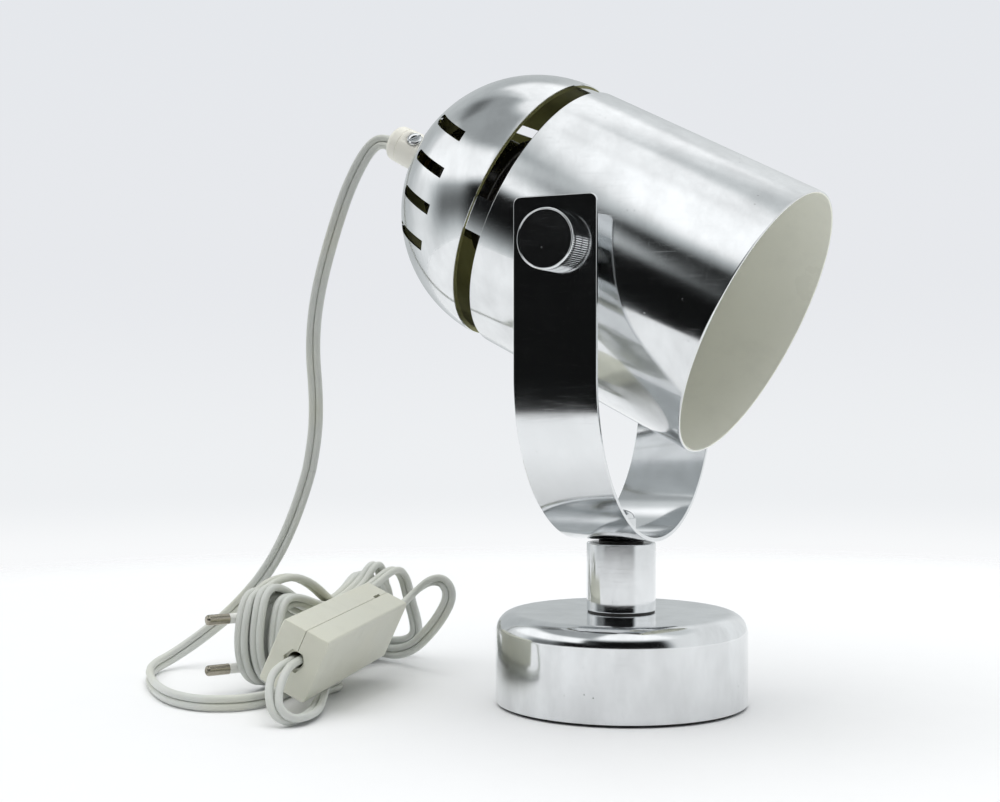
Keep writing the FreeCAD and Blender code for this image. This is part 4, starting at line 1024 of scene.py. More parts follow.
class LAMP_OT_dome(Operator):
    """Build the ball-shaped rear dome with its vents and the ring of long slots"""
    bl_idname = "lamp.dome"
    bl_label = "Dome"

    def execute(self, context):
        size = context.scene.lamp_head
        inner, skirt_inner = size.radius - size.wall, size.skirt_radius - size.wall
        first = math.degrees(math.asin(size.pole_hole / size.radius)) - 90
        inner_first = math.degrees(math.asin(size.pole_hole / inner)) - 90
        step_back = size.dome_rim - size.wall
        inner_last = -math.degrees(math.asin(size.wall / inner))
        outline = arc((0, size.dome_rim), size.radius, first, 0, 40)
        lip = size.radius - size.lip
        outline += [(Vector((lip, size.dome_rim)), Vector((0, 1))),
                    (Vector((size.skirt_radius, size.dome_rim)), Vector((0, 1))),
                    (Vector((size.skirt_radius, size.skirt_front)), Vector((1, 0))),
                    (Vector((skirt_inner, size.skirt_front)), Vector((-1, 0))),
                    (Vector((skirt_inner, step_back)), Vector((-1, 0)))]
        outline += arc((0, size.dome_rim), -inner, inner_last, inner_first, 40)
        blank = facing_out(lathe("dome_blank", outline, 144), weld=True)
        tools = []
        for number in range(4):
            middle = size.roll + number * math.pi / 2
            tools.append(slot_cutter(size, middle + size.bridge / 2, middle + math.pi / 2 - size.bridge / 2))
        for side in (1, 3):
            for step in (-1.5, -0.5, 0.5, 1.5):
                tools.append(vent_cutter(size, size.roll + side * math.pi / 2, step * size.vent_pitch))
        mesh = carved("dome_drawn", blank, tools)
        dome_normals(mesh, size)
        centre = Vector((0, 0, size.dome_rim))
        for polygon in mesh.polygons:
            middle = polygon.center
            inward = (middle - centre).dot(polygon.normal) < 0 if middle.z < size.dome_rim else \
                Vector((middle.x, middle.y, 0)).dot(polygon.normal) < 0
            thin = abs((middle - centre).length - inner) < 0.06 * MM or \
                abs(Vector((middle.x, middle.y)).length - skirt_inner) < 0.06 * MM
            # The rim's step inside the bright lip faces out into the slot, yet takes the dark inside finish: painted
            # shade in the slot between the dome and the shade.
            painted_shade_ledge = abs(middle.z - size.dome_rim) < 0.05 * MM and Vector((middle.x, middle.y)).length < lip
            polygon.material_index = 1 if (inward and thin) or painted_shade_ledge else 0
        where = head_place(context.scene)
        normals = [where.to_3x3() @ corner.vector for corner in mesh.corner_normals]
        mesh.transform(where)
        mesh.normals_split_custom_set(normals)
        dome = shown("dome_drawn", mesh, "plated_chrome", "olive_tarnish")
        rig.ride(dome, "head")
        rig.replaces(dome, "dome_shell")
        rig.slot(dome, "chrome")
        return {"FINISHED"}


# ----------------------------------------------------------------------------- tilt pivot
def knob_mesh(name, size, where):
    """A knob: a mirror face in a thin raised rim, and two knurled bands with a groove between."""
    radius, thick = size.knob_radius, size.knob_thickness
    groove = thick - size.groove_at
    # Distance from the axis, height above the foot, and 1 where the ring is knurled.
    rows = [
        (0, 0.0, 0), (radius - 0.9 * MM, 0.0, 0), (radius, 0.3 * MM, 1), (radius, groove - size.groove, 1),
        (radius - 1.1 * MM, groove - size.groove, 0), (radius - 1.1 * MM, groove, 0), (radius, groove, 1),
        (radius, thick - 0.45 * MM, 1), (radius - 0.06 * MM, thick - 0.3 * MM, 0),
        (radius - 0.22 * MM, thick - 0.08 * MM, 0), (radius - 0.42 * MM, thick, 0),
        (radius - 0.55 * MM, thick - 0.02 * MM, 0), (radius - 0.7 * MM, thick - 0.12 * MM, 0),
        (radius - 1.1 * MM, thick - 0.14 * MM, 0), (0, thick - 0.14 * MM, 0),
    ]
    per_tooth = 4
    steps = size.teeth * per_tooth
    depth = 0.26 * MM
    places, faces, rings = [], [], []
    for distance, height, knurl in rows:
        if distance == 0:
            rings.append([len(places)] * steps)
            places.append(where @ Vector((0, 0, height)))
            continue
        rings.append(list(range(len(places), len(places) + steps)))
        for step in range(steps):
            turn = 2 * math.pi * step / steps
            tooth = (0.0, 0.5, 1.0, 0.5)[step % per_tooth]
            reach = distance - depth * knurl * tooth
            places.append(where @ Vector((reach * math.cos(turn), reach * math.sin(turn), height)))
    for low, high in zip(rings, rings[1:]):
        for step in range(steps):
            other = (step + 1) % steps
            face = []
            for vertex in (low[step], low[other], high[other], high[step]):
                if vertex not in face:
                    face.append(vertex)
            faces.append(face)
    mesh = bpy.data.meshes.new(name)
    mesh.from_pydata(places, [], faces)
    return crisp(mesh, 22)


class LAMP_OT_pivot(Operator):
    """Build the two knurled knobs and the spacers between the arms and the shade"""
    bl_idname = "lamp.pivot"
    bl_label = "Tilt pivot"

    def execute(self, context):
        size = context.scene.lamp_pivot
        pivot = Matrix.Translation(joint("head_tilt")["pos_m"])
        for side, way in (("near", ALONG_MINUS_Y), ("far", ALONG_PLUS_Y)):
            where = pivot @ way @ Matrix.Translation((0, 0, size.knob_foot))
            stud_low = 43.5 * MM - size.knob_foot
            stud = lathe("stud", rounded([(0, stud_low, 0), (2.45 * MM, stud_low, 0.3 * MM), (2.45 * MM, 0, 0)],
                                         steps=3, closed=False), 32, closed=False, where=where)
            mesh = knob_mesh("knob_%s_knurled" % side, size, where)
            knob = shown("knob_%s_knurled" % side, mesh, "turned_chrome")
            even_shading(knob)
            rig.ride(knob, "knob_" + side)
            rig.replaces(knob, "knob_" + side)
            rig.slot(knob, "chrome")
            shank = shown("knob_%s_stud" % side, stud, "plain_steel")
            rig.ride(shank, "knob_" + side)
            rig.slot(shank, "steel")

            outline = rounded([
                (2.5 * MM, size.spacer_end, 0.2 * MM), (2.5 * MM, size.spacer_start, 0.2 * MM),
                (size.spacer_radius, size.spacer_start, 0.4 * MM), (size.spacer_radius, size.spacer_end, 0.4 * MM),
            ], steps=4)
            spacer = shown("spacer_%s_moulded" % side,
                           lathe("spacer_%s_moulded" % side, outline, 48, where=pivot @ way), "white_moulding")
            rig.ride(spacer, "head")
            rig.replaces(spacer, "spacer_" + side)
            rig.slot(spacer, "white_plastic")
        return {"FINISHED"}


# ----------------------------------------------------------------------------- lampholder
def rolled_socket(size, where):
    """The screw socket: a thin brass tube with a rolled round thread."""
    steps, rows = 60, 72
    depth = 0.42 * MM
    places, faces = [], []
    run = size.socket_front - size.socket_back
    wall = 0.5 * MM
    for out in (0, 1):
        for row in range(rows + 1):
            along = size.socket_back + run * row / rows
            fade = min(1.0, row / 6, (rows - row) / 6)
            for step in range(steps):
                turn = 2 * math.pi * step / steps
                phase = 2 * math.pi * (along / size.thread_pitch) - turn
                wave = depth * fade * (0.5 + 0.5 * math.cos(phase))
                reach = size.socket_radius + (wall - 0.02 * MM if out else 0.45 * MM - wave)
                places.append(where @ Vector((reach * math.cos(turn), reach * math.sin(turn), along)))
    for out in (0, 1):
        skin = tube_faces(rows + 1, steps, out * (rows + 1) * steps)
        faces += skin if out else [face[::-1] for face in skin]
    for row in (0, rows):
        for step in range(steps):
            other = (step + 1) % steps
            low, high = row * steps, (rows + 1 + row) * steps
            face = [low + step, low + other, high + other, high + step]
            faces.append(face if row else face[::-1])
    mesh = bpy.data.meshes.new("screw_socket_rolled")
    mesh.from_pydata(places, [], faces)
    return crisp(mesh, 50)


class LAMP_OT_lampholder(Operator):
    """Build the bakelite lampholder with its rolled screw socket and contacts"""
    bl_idname = "lamp.lampholder"
    bl_label = "Lampholder"

    def execute(self, context):
        size = context.scene.lamp_holder
        where = head_place(context.scene)
        shoulder = (size.cap_back + size.cap_front) / 2
        wall = 2.6 * MM
        outline = rounded([
            (4.98 * MM, size.cap_back + wall, 0.2 * MM), (4.98 * MM, size.cap_back, 0.3 * MM),
            (size.neck, size.cap_back, 1.0 * MM), (size.radius, shoulder, 3.0 * MM),
            (size.radius, size.cap_front - 2.2 * MM, 0.3 * MM),
            (size.radius - 0.5 * MM, size.cap_front - 1.8 * MM, 0.2 * MM),
            (size.radius - 0.5 * MM, size.cap_front, 0.2 * MM), (size.radius - wall, size.cap_front, 0.2 * MM),
            (size.radius - wall, shoulder, 1.5 * MM), (size.neck, size.cap_back + wall, 0.5 * MM),
        ], steps=6)
        mesh = lathe("lampholder_cap_moulded", outline, 96, where=where)
        cap = shown("lampholder_cap_moulded", mesh, "black_bakelite")
        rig.ride(cap, "head")
        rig.replaces(cap, "lampholder_cap")
        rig.slot(cap, "bakelite")

        low = size.cap_front + 0.05 * MM
        collar_back = size.collar_front - 4.0 * MM
        hold = size.socket_radius + 0.55 * MM
        outline = rounded([
            (size.radius - wall, size.collar_front, 0.2 * MM), (size.radius - wall, low, 0.2 * MM),
            (size.radius, low, 0.3 * MM), (size.radius, collar_back, 0.5 * MM),
            (size.collar_radius, collar_back, 0.8 * MM), (size.collar_radius, size.collar_front, 0.8 * MM),
            (size.radius - wall / 2, size.collar_front, 0.4 * MM), (size.radius - wall / 2, size.mouth, 0.8 * MM),
            (hold, size.mouth, 0.5 * MM), (hold, size.collar_front, 0.2 * MM),
        ], steps=5)
        mesh = lathe("lampholder_skirt_moulded", outline, 120, where=where)
        skirt = shown("lampholder_skirt_moulded", mesh, "black_bakelite")
        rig.ride(skirt, "head")
        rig.replaces(skirt, "lampholder_skirt")
        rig.slot(skirt, "bakelite")

        socket = shown("screw_socket_rolled", rolled_socket(size, where), "bare_brass")
        floor = rounded([(4.5 * MM, size.socket_back + 0.5 * MM, 0.1 * MM), (4.5 * MM, size.socket_back, 0.1 * MM),
                         (size.socket_radius + 0.4 * MM, size.socket_back, 0.1 * MM),
                         (size.socket_radius + 0.4 * MM, size.socket_back + 0.5 * MM, 0.1 * MM)], steps=2)
        plate = shown("screw_socket_floor", lathe("screw_socket_floor", floor, 60, where=where), "bare_brass")
        for piece in (socket, plate):
            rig.ride(piece, "head")
            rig.slot(piece, "brass")
        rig.replaces(socket, "screw_socket")

        top = size.socket_back + 0.45 * MM
        tongue = rounded([(0, top, 0), (0, size.socket_back, 0), (3.9 * MM, size.socket_back, 0.1 * MM),
                          (3.4 * MM, top, 0.3 * MM)], steps=3)[2:]
        tongue.append((Vector((0, top)), Vector((0, 1))))
        mesh = lathe("centre_contact_pressed", tongue, 40, closed=False, where=where)
        contact = shown("centre_contact_pressed", mesh, "bare_brass")
        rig.ride(contact, "head")
        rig.replaces(contact, "centre_contact")
        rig.slot(contact, "brass")
        return {"FINISHED"}


# ----------------------------------------------------------------------------- cord grip
class LAMP_OT_grip(Operator):
    """Build the ivory cord grip on the dome and its clamping screw"""
    bl_idname = "lamp.grip"
    bl_label = "Cord grip"

    def execute(self, context):
        size = context.scene.lamp_grip
        where = head_place(context.scene, size.roll)
        seam = size.back + 5.2 * MM
        outline = rounded([
            (0, size.back, 0), (size.radius - 0.25 * MM, size.back, size.rounding),
            (size.radius - 0.2 * MM, seam - 0.25 * MM, 0.15 * MM), (size.radius - 0.45 * MM, seam, 0.1 * MM),
            (size.radius - 0.1 * MM, seam + 0.25 * MM, 0.2 * MM), (size.radius, size.front - 0.6 * MM, 0.3 * MM),
            (size.radius - 0.4 * MM, size.front, 0.3 * MM), (0, size.front, 0),
        ], steps=6, closed=False)
        blank = facing_out(lathe("grip_blank", outline, 72, closed=False), weld=True)
        down = Matrix.Rotation(-size.roll, 4, "Z") @ Matrix.Translation((size.cord_offset, 0, 0))
        cord_hole = prism("grip_cord_hole", round_outline(3.0 * MM, 28), size.back - 2 * MM, size.back + 7 * MM, down)
        well = Matrix.Translation((-size.radius, 0, size.screw_at)) @ ALONG_PLUS_X
        screw_well = prism("grip_screw_well", round_outline(size.screw_radius + 0.1 * MM, 28), -2 * MM, 1.0 * MM, well)
        mesh = crisp(carved("cord_grip_moulded", blank, [cord_hole, screw_well]), 35)
        mesh.transform(where)
        grip = shown("cord_grip_moulded", mesh, "ivory_moulding")
        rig.ride(grip, "head")
        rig.replaces(grip, "cord_grip")
        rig.slot(grip, "ivory_plastic")

        top, foot = -0.75 * MM, 0.95 * MM
        head = rounded([(0, foot, 0), (1.4 * MM, foot, 0), (size.screw_radius, foot, 0.1 * MM),
                        (size.screw_radius, top + 0.3 * MM, 0.3 * MM), (size.screw_radius - 0.6 * MM, top, 0.3 * MM),
                        (0, top, 0)][::-1], steps=3, closed=False)
        blank = facing_out(lathe("screw_blank", head, 40, closed=False), weld=True)
        half, reach = 0.4 * MM, 4 * MM
        groove = prism("screw_groove", [(-half, -reach), (half, -reach), (half, reach), (-half, reach)],
                       top - 1 * MM, top + 0.8 * MM, Matrix.Rotation(math.radians(25), 4, "Z"))
        mesh = crisp(carved("grip_screw_slotted", blank, [groove]), 30)
        mesh.transform(where @ well)
        screw = shown("grip_screw_slotted", mesh, "turned_chrome")
        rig.ride(screw, "head")
        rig.replaces(screw, "grip_screw")
        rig.slot(screw, "chrome")
        return {"FINISHED"}


# ----------------------------------------------------------------------------- inline switch
SWITCH_CORNER = (-87.8 * MM, -73 * MM, 4.4 * MM)


def switch_place(size):
    """From the housing's own frame, with its length along Y, to where it lies on the table."""
    return (Matrix.Translation(SWITCH_CORNER) @ Matrix.Rotation(size.heading, 4, "Z")
            @ Matrix.Rotation(size.rise, 4, "X") @ Matrix.Rotation(size.lean, 4, "Y"))


def block(name, low, high):
    """A square-edged block between two corners, for further work."""
    (x0, y0, z0), (x1, y1, z1) = low, high
    return prism(name, [(x0, y0), (x1, y0), (x1, y1), (x0, y1)], z0, z1)


def housing_half(name, size, outer, joint_face, tools):
    """One half of the housing: rounded outside, hollow inside, with a fine step at the joint."""
    low, high = min(outer, joint_face), max(outer, joint_face)
    mesh = block(name, (low, 0, 0), (high, size.run, size.height))
    work = fused(mesh)

    def long_outer(edge):
        a, b = (vertex.co for vertex in edge.verts)
        return abs(a.x - outer) < 1e-6 and abs(b.x - outer) < 1e-6 and abs(a.z - b.z) < 1e-6

    def outer_face_edge(edge):
        a, b = (vertex.co for vertex in edge.verts)
        at_joint = abs(a.x - joint_face) < 1e-6 and abs(b.x - joint_face) < 1e-6
        return not at_joint

    bmesh.ops.bevel(work, geom=[edge for edge in work.edges if long_outer(edge)], offset=size.edge, segments=5,
                    profile=0.5, affect="EDGES")
    ends = [edge for edge in work.edges if outer_face_edge(edge) and len(edge.link_faces) == 2
            and abs(edge.link_faces[0].normal.dot(edge.link_faces[1].normal)) < 0.5]
    bmesh.ops.bevel(work, geom=ends, offset=0.55 * MM, segments=4, profile=0.5, affect="EDGES", clamp_overlap=True)
    rim = [edge for edge in work.edges if all(abs(vertex.co.x - joint_face) < 1e-6 for vertex in edge.verts)]
    bmesh.ops.bevel(work, geom=rim, offset=0.14 * MM, segments=2, profile=0.5, affect="EDGES", clamp_overlap=True)
    work.to_mesh(mesh)
    work.free()
    wall = size.wall
    inner = outer - wall if outer > joint_face else outer + wall
    past = joint_face - 0.001 if outer > joint_face else joint_face + 0.001
    hollow = block(name + "_hollow", (min(inner, past), wall, wall),
                   (max(inner, past), size.run - wall, size.height - wall))
    return crisp(carved(name, mesh, [hollow] + tools), 30)


class LAMP_OT_switch(Operator):
    """Build the inline switch: two housing halves, screws and the rocker"""
    bl_idname = "lamp.switch"
    bl_label = "Inline switch"

    def execute(self, context):
        size = context.scene.lamp_switch
        where = switch_place(size)
        middle = -size.width / 2
        up = size.height / 2
        screw_up = size.height - 5.6 * MM
        screw_at = (11 * MM, size.run - 11 * MM)

        def ports(tag):
            made = []
            for number, (start, end) in enumerate(((-1 * MM, 4 * MM), (size.run - 4 * MM, size.run + 1 * MM))):
                along = Matrix.Translation((middle, start, up)) @ ALONG_PLUS_Y
                made.append(prism("%s_port_%d" % (tag, number), round_outline(size.port, 6), 0, end - start, along))
            return made

        def screw_holes(tag, radius, low, high):
            return [prism("%s_well_%d" % (tag, number), round_outline(radius, 24), low, high,
                          Matrix.Translation((0, spot, screw_up)) @ ALONG_PLUS_X)
                    for number, spot in enumerate(screw_at)]

        notch = block("seam_notch", (middle - 1.1 * MM, 65.0 * MM, size.height - 3 * MM),
                      (middle + 0.2 * MM, 70.6 * MM, size.height + 1 * MM))
        mesh = housing_half("switch_cover_moulded", size, 0.0, middle + size.seam / 2, ports("cover"))
        mesh.transform(where)
        cover = shown("switch_cover_moulded", mesh, "switch_moulding")
        window = block("rocker_window", (-size.width - 1 * MM, size.run / 2 - 10.7 * MM, up - 5.2 * MM),
                       (-size.width + 2 * size.wall, size.run / 2 + 10.7 * MM, up + 5.2 * MM))
        wells = screw_holes("back", 2.7 * MM, -size.width - 1 * MM, -size.width + 2 * size.wall)
        mesh = housing_half("switch_back_moulded", size, -size.width, middle - size.seam / 2,
                            ports("back") + [window, notch] + wells)
        mesh.transform(where)
        back = shown("switch_back_moulded", mesh, "switch_moulding")
        for piece, node in ((cover, "switch_cover"), (back, "switch_back")):
            even_shading(piece)
            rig.ride(piece, "base")
            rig.replaces(piece, node)
            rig.slot(piece, "grey_plastic")

        meshes = []
        for spot in screw_at:
            top, foot = -size.width + 0.25 * MM, -size.width + 1.5 * MM
            outline = rounded([
                (0, foot, 0), (2.55 * MM, foot, 0.1 * MM), (2.55 * MM, top + 0.3 * MM, 0.3 * MM),
                (2.0 * MM, top, 0.3 * MM), (0, top, 0)][::-1], steps=3, closed=False)
            head = facing_out(lathe("case_screw_blank", outline, 36, closed=False), weld=True)
            groove = block("case_screw_groove", (-0.4 * MM, -4 * MM, top - 1 * MM),
                           (0.4 * MM, 4 * MM, top + 0.8 * MM))
            head = crisp(carved("case_screw_head", head, [groove]), 30)
            head.transform(where @ Matrix.Translation((0, spot, screw_up)) @ ALONG_PLUS_X
                           @ Matrix.Rotation(spot * 20, 4, "Z"))
            meshes.append(head)
        screws = shown("case_screws_slotted", joined_crisp("case_screws_slotted", meshes, 30), "plain_steel")
        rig.ride(screws, "base")
        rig.replaces(screws, "case_screws")
        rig.slot(screws, "steel")

        mesh = rocker_mesh(size)
        mesh.transform(where)
        rocker = shown("switch_rocker_moulded", mesh, "switch_moulding")
        even_shading(rocker)
        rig.ride(rocker, "rocker")
        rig.replaces(rocker, "switch_rocker")
        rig.slot(rocker, "grey_plastic")
        return {"FINISHED"}


def joined_crisp(name, meshes, degrees):
    """One mesh from several plain ones, with sharp edges picked by angle."""
    work = fused(*meshes)
    whole = bpy.data.meshes.new(name)
    work.to_mesh(whole)
    work.free()
    for mesh in meshes:
        bpy.data.meshes.remove(mesh)
    return crisp(whole, degrees)


def rocker_mesh(size):
    """The rocker: a key with a dished face, finger ridges and rounded edges."""
    half, wide = 10 * MM, 4.45 * MM
    proud = -size.width - 1.75 * MM
    foot = -size.width + 4.6 * MM
    dish, ridge, ridge_gap = 0.85 * MM, 0.14 * MM, 1.3 * MM
    rows = 40
    places = []
    for row in range(rows + 1):
        along = -half + 2 * half * row / rows
        bend = 1 - (along / half) ** 2
        face = proud + dish * bend
        edge = min(1.0, (half - abs(along)) / (0.5 * MM))
        face += 0.4 * MM * (1 - edge)
        if abs(abs(along) - 6.5 * MM) < 2.6 * MM:
            face -= ridge * (0.5 + 0.5 * math.cos(2 * math.pi * along / ridge_gap))
        for across, deep in ((-wide, foot), (-wide, face + 0.5 * MM), (-wide + 0.15 * MM, face + 0.15 * MM),
                             (-wide + 0.5 * MM, face), (wide - 0.5 * MM, face), (wide - 0.15 * MM, face + 0.15 * MM),
                             (wide, face + 0.5 * MM), (wide, foot)):
            places.append(Vector((deep, size.run / 2 + along, size.height / 2 + across)))
    faces = tube_faces(rows + 1, 8)
    faces.append(list(range(8)))
    faces.append([rows * 8 + step for step in reversed(range(8))])
    mesh = bpy.data.meshes.new("switch_rocker_moulded")
    mesh.from_pydata(places, [], faces)
    return crisp(facing_out(mesh), 35)


# ----------------------------------------------------------------------------- plug
PLUG_FACE = (-131.5 * MM, -41 * MM, 18.5 * MM)


def plug_place(size):
    """From the plug's own frame, with its pins along -Z, to where it lies in the hank."""
    return (Matrix.Translation(PLUG_FACE) @ Matrix.Rotation(size.heading, 4, "Z")
            @ ALONG_PLUS_X)


def plug_section(width, thickness, steps=40):
    """A flat-sided oval: straight flanks and round ends."""
    points = []
    for step in range(steps):
        turn = 2 * math.pi * step / steps
        power = 2.6
        x = math.copysign(abs(math.cos(turn)) ** (2 / power), math.cos(turn)) * width / 2
        y = math.copysign(abs(math.sin(turn)) ** (2 / power), math.sin(turn)) * thickness / 2
        points.append((x, y))
    return points


class LAMP_OT_plug(Operator):
    """Build the flat two-pin plug and its sleeved pins"""
    bl_idname = "lamp.plug"
    bl_label = "Plug"

    def execute(self, context):
        size = context.scene.lamp_plug
        where = plug_place(size)
        steps = 40
        rows = []
        # Shares of the body's length, of its width and of its thickness, from the face to the cord.
        for along, width, thickness in (
                (0.0, 0.90, 0.84), (0.02, 0.97, 0.95), (0.06, 1.0, 1.0), (0.25, 1.0, 1.0), (0.33, 0.98, 0.985),
                (0.45, 0.86, 0.93), (0.60, 0.68, 0.84), (0.75, 0.53, 0.76), (0.88, 0.43, 0.70), (0.96, 0.40, 0.66),
                (1.0, 0.36, 0.58)):
            rows.append((along * size.body, width * size.width, thickness * size.thickness))
        places = []
        for along, width, thickness in rows:
            places += [Vector((x, y, along)) for x, y in plug_section(width, thickness, steps)]
        faces = tube_faces(len(rows), steps)
        faces.append(list(reversed(range(steps))))
        faces.append([(len(rows) - 1) * steps + step for step in range(steps)])
        mesh = bpy.data.meshes.new("plug_body_moulded")
        mesh.from_pydata(places, [], faces)
        facing_out(mesh)
        grips = []
        for side in (-1, 1):
            for number in range(5):
                along = (0.40 + 0.11 * number) * size.body
                reach = side * size.thickness * (0.475 - 0.03 * number)
                grips.append(prism("grip_rib", round_outline(0.55 * MM, 12), -4.5 * MM, 4.5 * MM,
                                   Matrix.Translation((0, reach, along)) @ ALONG_PLUS_X))
        mesh = crisp(carved("plug_body_moulded", mesh, grips), 35)
        mesh.transform(where)
        plug = shown("plug_body_moulded", mesh, "cord_vinyl")
        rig.ride(plug, "base")
        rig.replaces(plug, "plug_body")
        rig.slot(plug, "cord_plastic")

        sleeves, tips = [], []
        for side in (-1, 1):
            spot = where @ Matrix.Translation((side * size.pin_spacing / 2, 0, 0))
            sleeve = [(0, 1.5 * MM, 0), (0, -size.sleeve, 0), (size.sleeve_radius, -size.sleeve, 0.15 * MM),
                      (size.sleeve_radius, 0.6 * MM, 0), (size.sleeve_radius + 0.5 * MM, 0.9 * MM, 0),
                      (size.sleeve_radius + 0.5 * MM, 1.5 * MM, 0)]
            sleeves.append(lathe("sleeve", rounded(sleeve[1:], steps=3, closed=False), 28, closed=False, where=spot))
            tip = [(0, -size.pin_length, 0), (size.pin_radius, -size.pin_length, 1.2 * MM),
                   (size.pin_radius, -size.sleeve, 0.1 * MM), (0, -size.sleeve, 0)]
            tips.append(lathe("tip", rounded(tip, steps=6, closed=False), 32, closed=False, where=spot))
        tips = shown("plug_pins_bare", joined("plug_pins_bare", tips), "pin_nickel")
        sleeves = shown("plug_pins_sleeved", joined("plug_pins_sleeved", sleeves), "sleeve_moulding")
        for piece in (tips, sleeves):
            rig.ride(piece, "base")
            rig.slot(piece, "pin_metal")
        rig.replaces(tips, "plug_pins")
        return {"FINISHED"}


# ----------------------------------------------------------------------------- cord
ACROSS = (0.894, 0.447, 0.0)
UP = (0.0, 0.0, 1.0)
SIDE = (1.0, 0.0, 0.0)
DEPTH = (-0.447, 0.894, 0.0)

# Each point is its place in millimetres and the way that the flat cord's width lies there.
UPPER_ROUTE = [
    ((-95.2, 0, 207.8), (0.4, 0.2, 0.8)), ((-98.8, 0, 209.6), (0.2, 0.1, 0.9)),
    ((-103.7, 0, 208.9), (-0.2, -0.1, 0.95)), ((-109.8, 0, 202.4), (-0.7, -0.35, 0.6)),
    ((-118.4, 0, 186.5), (-0.85, -0.42, 0.35)),
    ((-129.4, 0, 154.6), (-0.894, -0.447, 0.1)), ((-132.6, 0, 131.8), (-0.894, -0.447, 0)),
    ((-130.4, 0, 109.9), (-0.894, -0.447, 0)), ((-131.0, 0, 93.0), (-0.894, -0.447, 0)),
    ((-133.8, 0, 81.0), (-0.894, -0.447, 0.1)),
]
LOWER_ROUTE = [
    ((-133.8, 0, 81.0), (-0.894, -0.447, 0.1)), ((-138.4, 0, 66.5), (-0.85, -0.42, 0.3)),
    ((-151.6, 0, 41.8), (-0.76, -0.38, 0.45)), ((-170.4, 0.4, 23.0), (-0.58, -0.29, 0.63)),
    ((-184.0, -4.6, 11.4), (-0.4, -0.2, 0.8)), ((-190.4, -14.6, 4.6), (-0.1, 0, 1)), ((-188.6, -28.6, 2.9), UP),
    ((-178.0, -44.6, 2.9), UP), ((-164.0, -59.6, 2.9), UP), ((-151.0, -71.0, 2.9), UP), ((-138.0, -79.0, 2.9), UP),
    ((-124.5, -81.5, 2.9), UP), ((-113.5, -75.5, 2.9), UP), ((-109.4, -64.0, 2.9), UP), ((-111.8, -51.0, 2.9), UP),
    ((-114.6, -38.0, 2.9), UP), ((-114.8, -27.0, 2.9), UP), ((-111.2, -22.4, 2.9), UP), ((-105.8, -22.4, 2.9), UP),
    ((-102.2, -27.0, 2.9), UP), ((-102.4, -36.0, 2.8), (0.35, 0, 0.9)), ((-97.6, -46.0, 2.5), (0.6, 0.1, 0.6)),
    ((-91.4, -57.5, 2.3), (0.8, 0.25, 0.4)), ((-86.2, -67.5, 2.1), (0.95, 0.1, 0.2)),
    ((-82.8, -76.0, 2.0), (0.97, -0.1, 0.2)), ((-81.4, -83.6, 2.0), (0.9, -0.3, 0.3)),
    ((-82.4, -89.4, 2.1), (0.8, 0, 0.4)), ((-85.6, -92.6, 5.4), (0.9, 0.4, 0.2)),
    ((-88.0, -90.6, 10.4), ACROSS), ((-89.2, -87.4, 14.8), ACROSS), ((-89.6, -83.6, 17.6), ACROSS),
    ((-90.2, -77.6, 19.1), ACROSS), ((-91.5, -71.0, 19.3), ACROSS),
]
LEAD_ROUTE = [
    ((-103.9, -0.8, 23.0), DEPTH), ((-105.6, 9.0, 23.4), DEPTH), ((-106.6, 20.0, 24.0), DEPTH),
    ((-105.6, 28.0, 27.2), DEPTH), ((-102.6, 32.0, 31.6), DEPTH), ((-97.2, 33.6, 35.6), (-0.5, 0.7, -0.5)),
    ((-91.4, 34.6, 35.6), (-0.75, 0.1, -0.6)), ((-88.2, 34.6, 29.6), (-0.87, -0.43, -0.1)),
    ((-92.4, 33.4, 20.8), (-0.8, -0.4, 0.4)), ((-99.2, 33.0, 12.8), (-0.6, -0.3, 0.6)),
    ((-106.4, 34.8, 7.2), (-0.4, -0.2, 0.8)), ((-114.6, 36.8, 4.3), (-0.1, 0.1, 1)), ((-123.0, 39.0, 4.2), (0, 0, 1)),
    ((-131.0, 44.6, 4.4), UP), ((-130.4, 53.6, 5.0), UP), ((-121.6, 55.2, 5.2), UP),
    ((-115.8, 54.8, 8.8), (-0.6, -0.3, 0.8)), ((-115.8, 54.0, 15.4), SIDE), ((-117.8, 52.4, 24.0), SIDE),
    ((-118.6, 49.0, 35.0), SIDE), ((-119.4, 41.5, 39.2), SIDE),
]
# The hank's middle line, in millimetres: its x at the near end, how far that end lies in front of
# the lamp's middle, and its heading.
HANK_X, HANK_NEAR, HANK_HEADING = -127, 52, math.radians(1)
# Each turn of the hank, in millimetres: its distance to the right of the middle at the far end, at the near
# top and at the near end; far and near reach; height of its lowest run, far top, near top and the dip between
# them; and how far back from the near end the near top lies.
HANK_TURNS = [
    (6.2, 7.2, 8.3, 49.0, -45.8, 1.7, 39.0, 36.0, 27.0, 12),
    (0.4, 1.6, 2.6, 50.2, -49.4, 1.7, 41.5, 39.8, 24.5, 13),
    (-5.6, -4.6, -3.4, 47.6, -50.6, 1.7, 37.0, 38.0, 23.0, 14),
    (3.4, 4.4, 5.4, 45.4, -42.6, 4.8, 34.4, 33.0, 23.5, 14),
    (-2.6, -1.4, -0.5, 46.6, -46.8, 4.8, 37.6, 35.8, 26.0, 18),
    (4.2, 0.4, -5.0, 46.4, -47.4, 4.6, 35.8, 42.0, 24.0, 29),
]
TAIL_ROUTE = [
    ((-129.0, 22.0, 3.0), SIDE), ((-128.6, 37.0, 3.2), SIDE), ((-127.6, 44.4, 8.6), SIDE),
    ((-126.0, 40.6, 16.6), SIDE), ((-121.4, 18.6, 16.6), (0.9, 0.2, 0.3)),
    ((-118.4, -0.8, 17.6), (0.6, 0.2, 0.7)), ((-117.0, -9.5, 18.2), (0.2, 0, 1)),
    ((-117.3, -15.9, 18.5), UP), ((-119.5, -20.2, 18.5), UP),
]


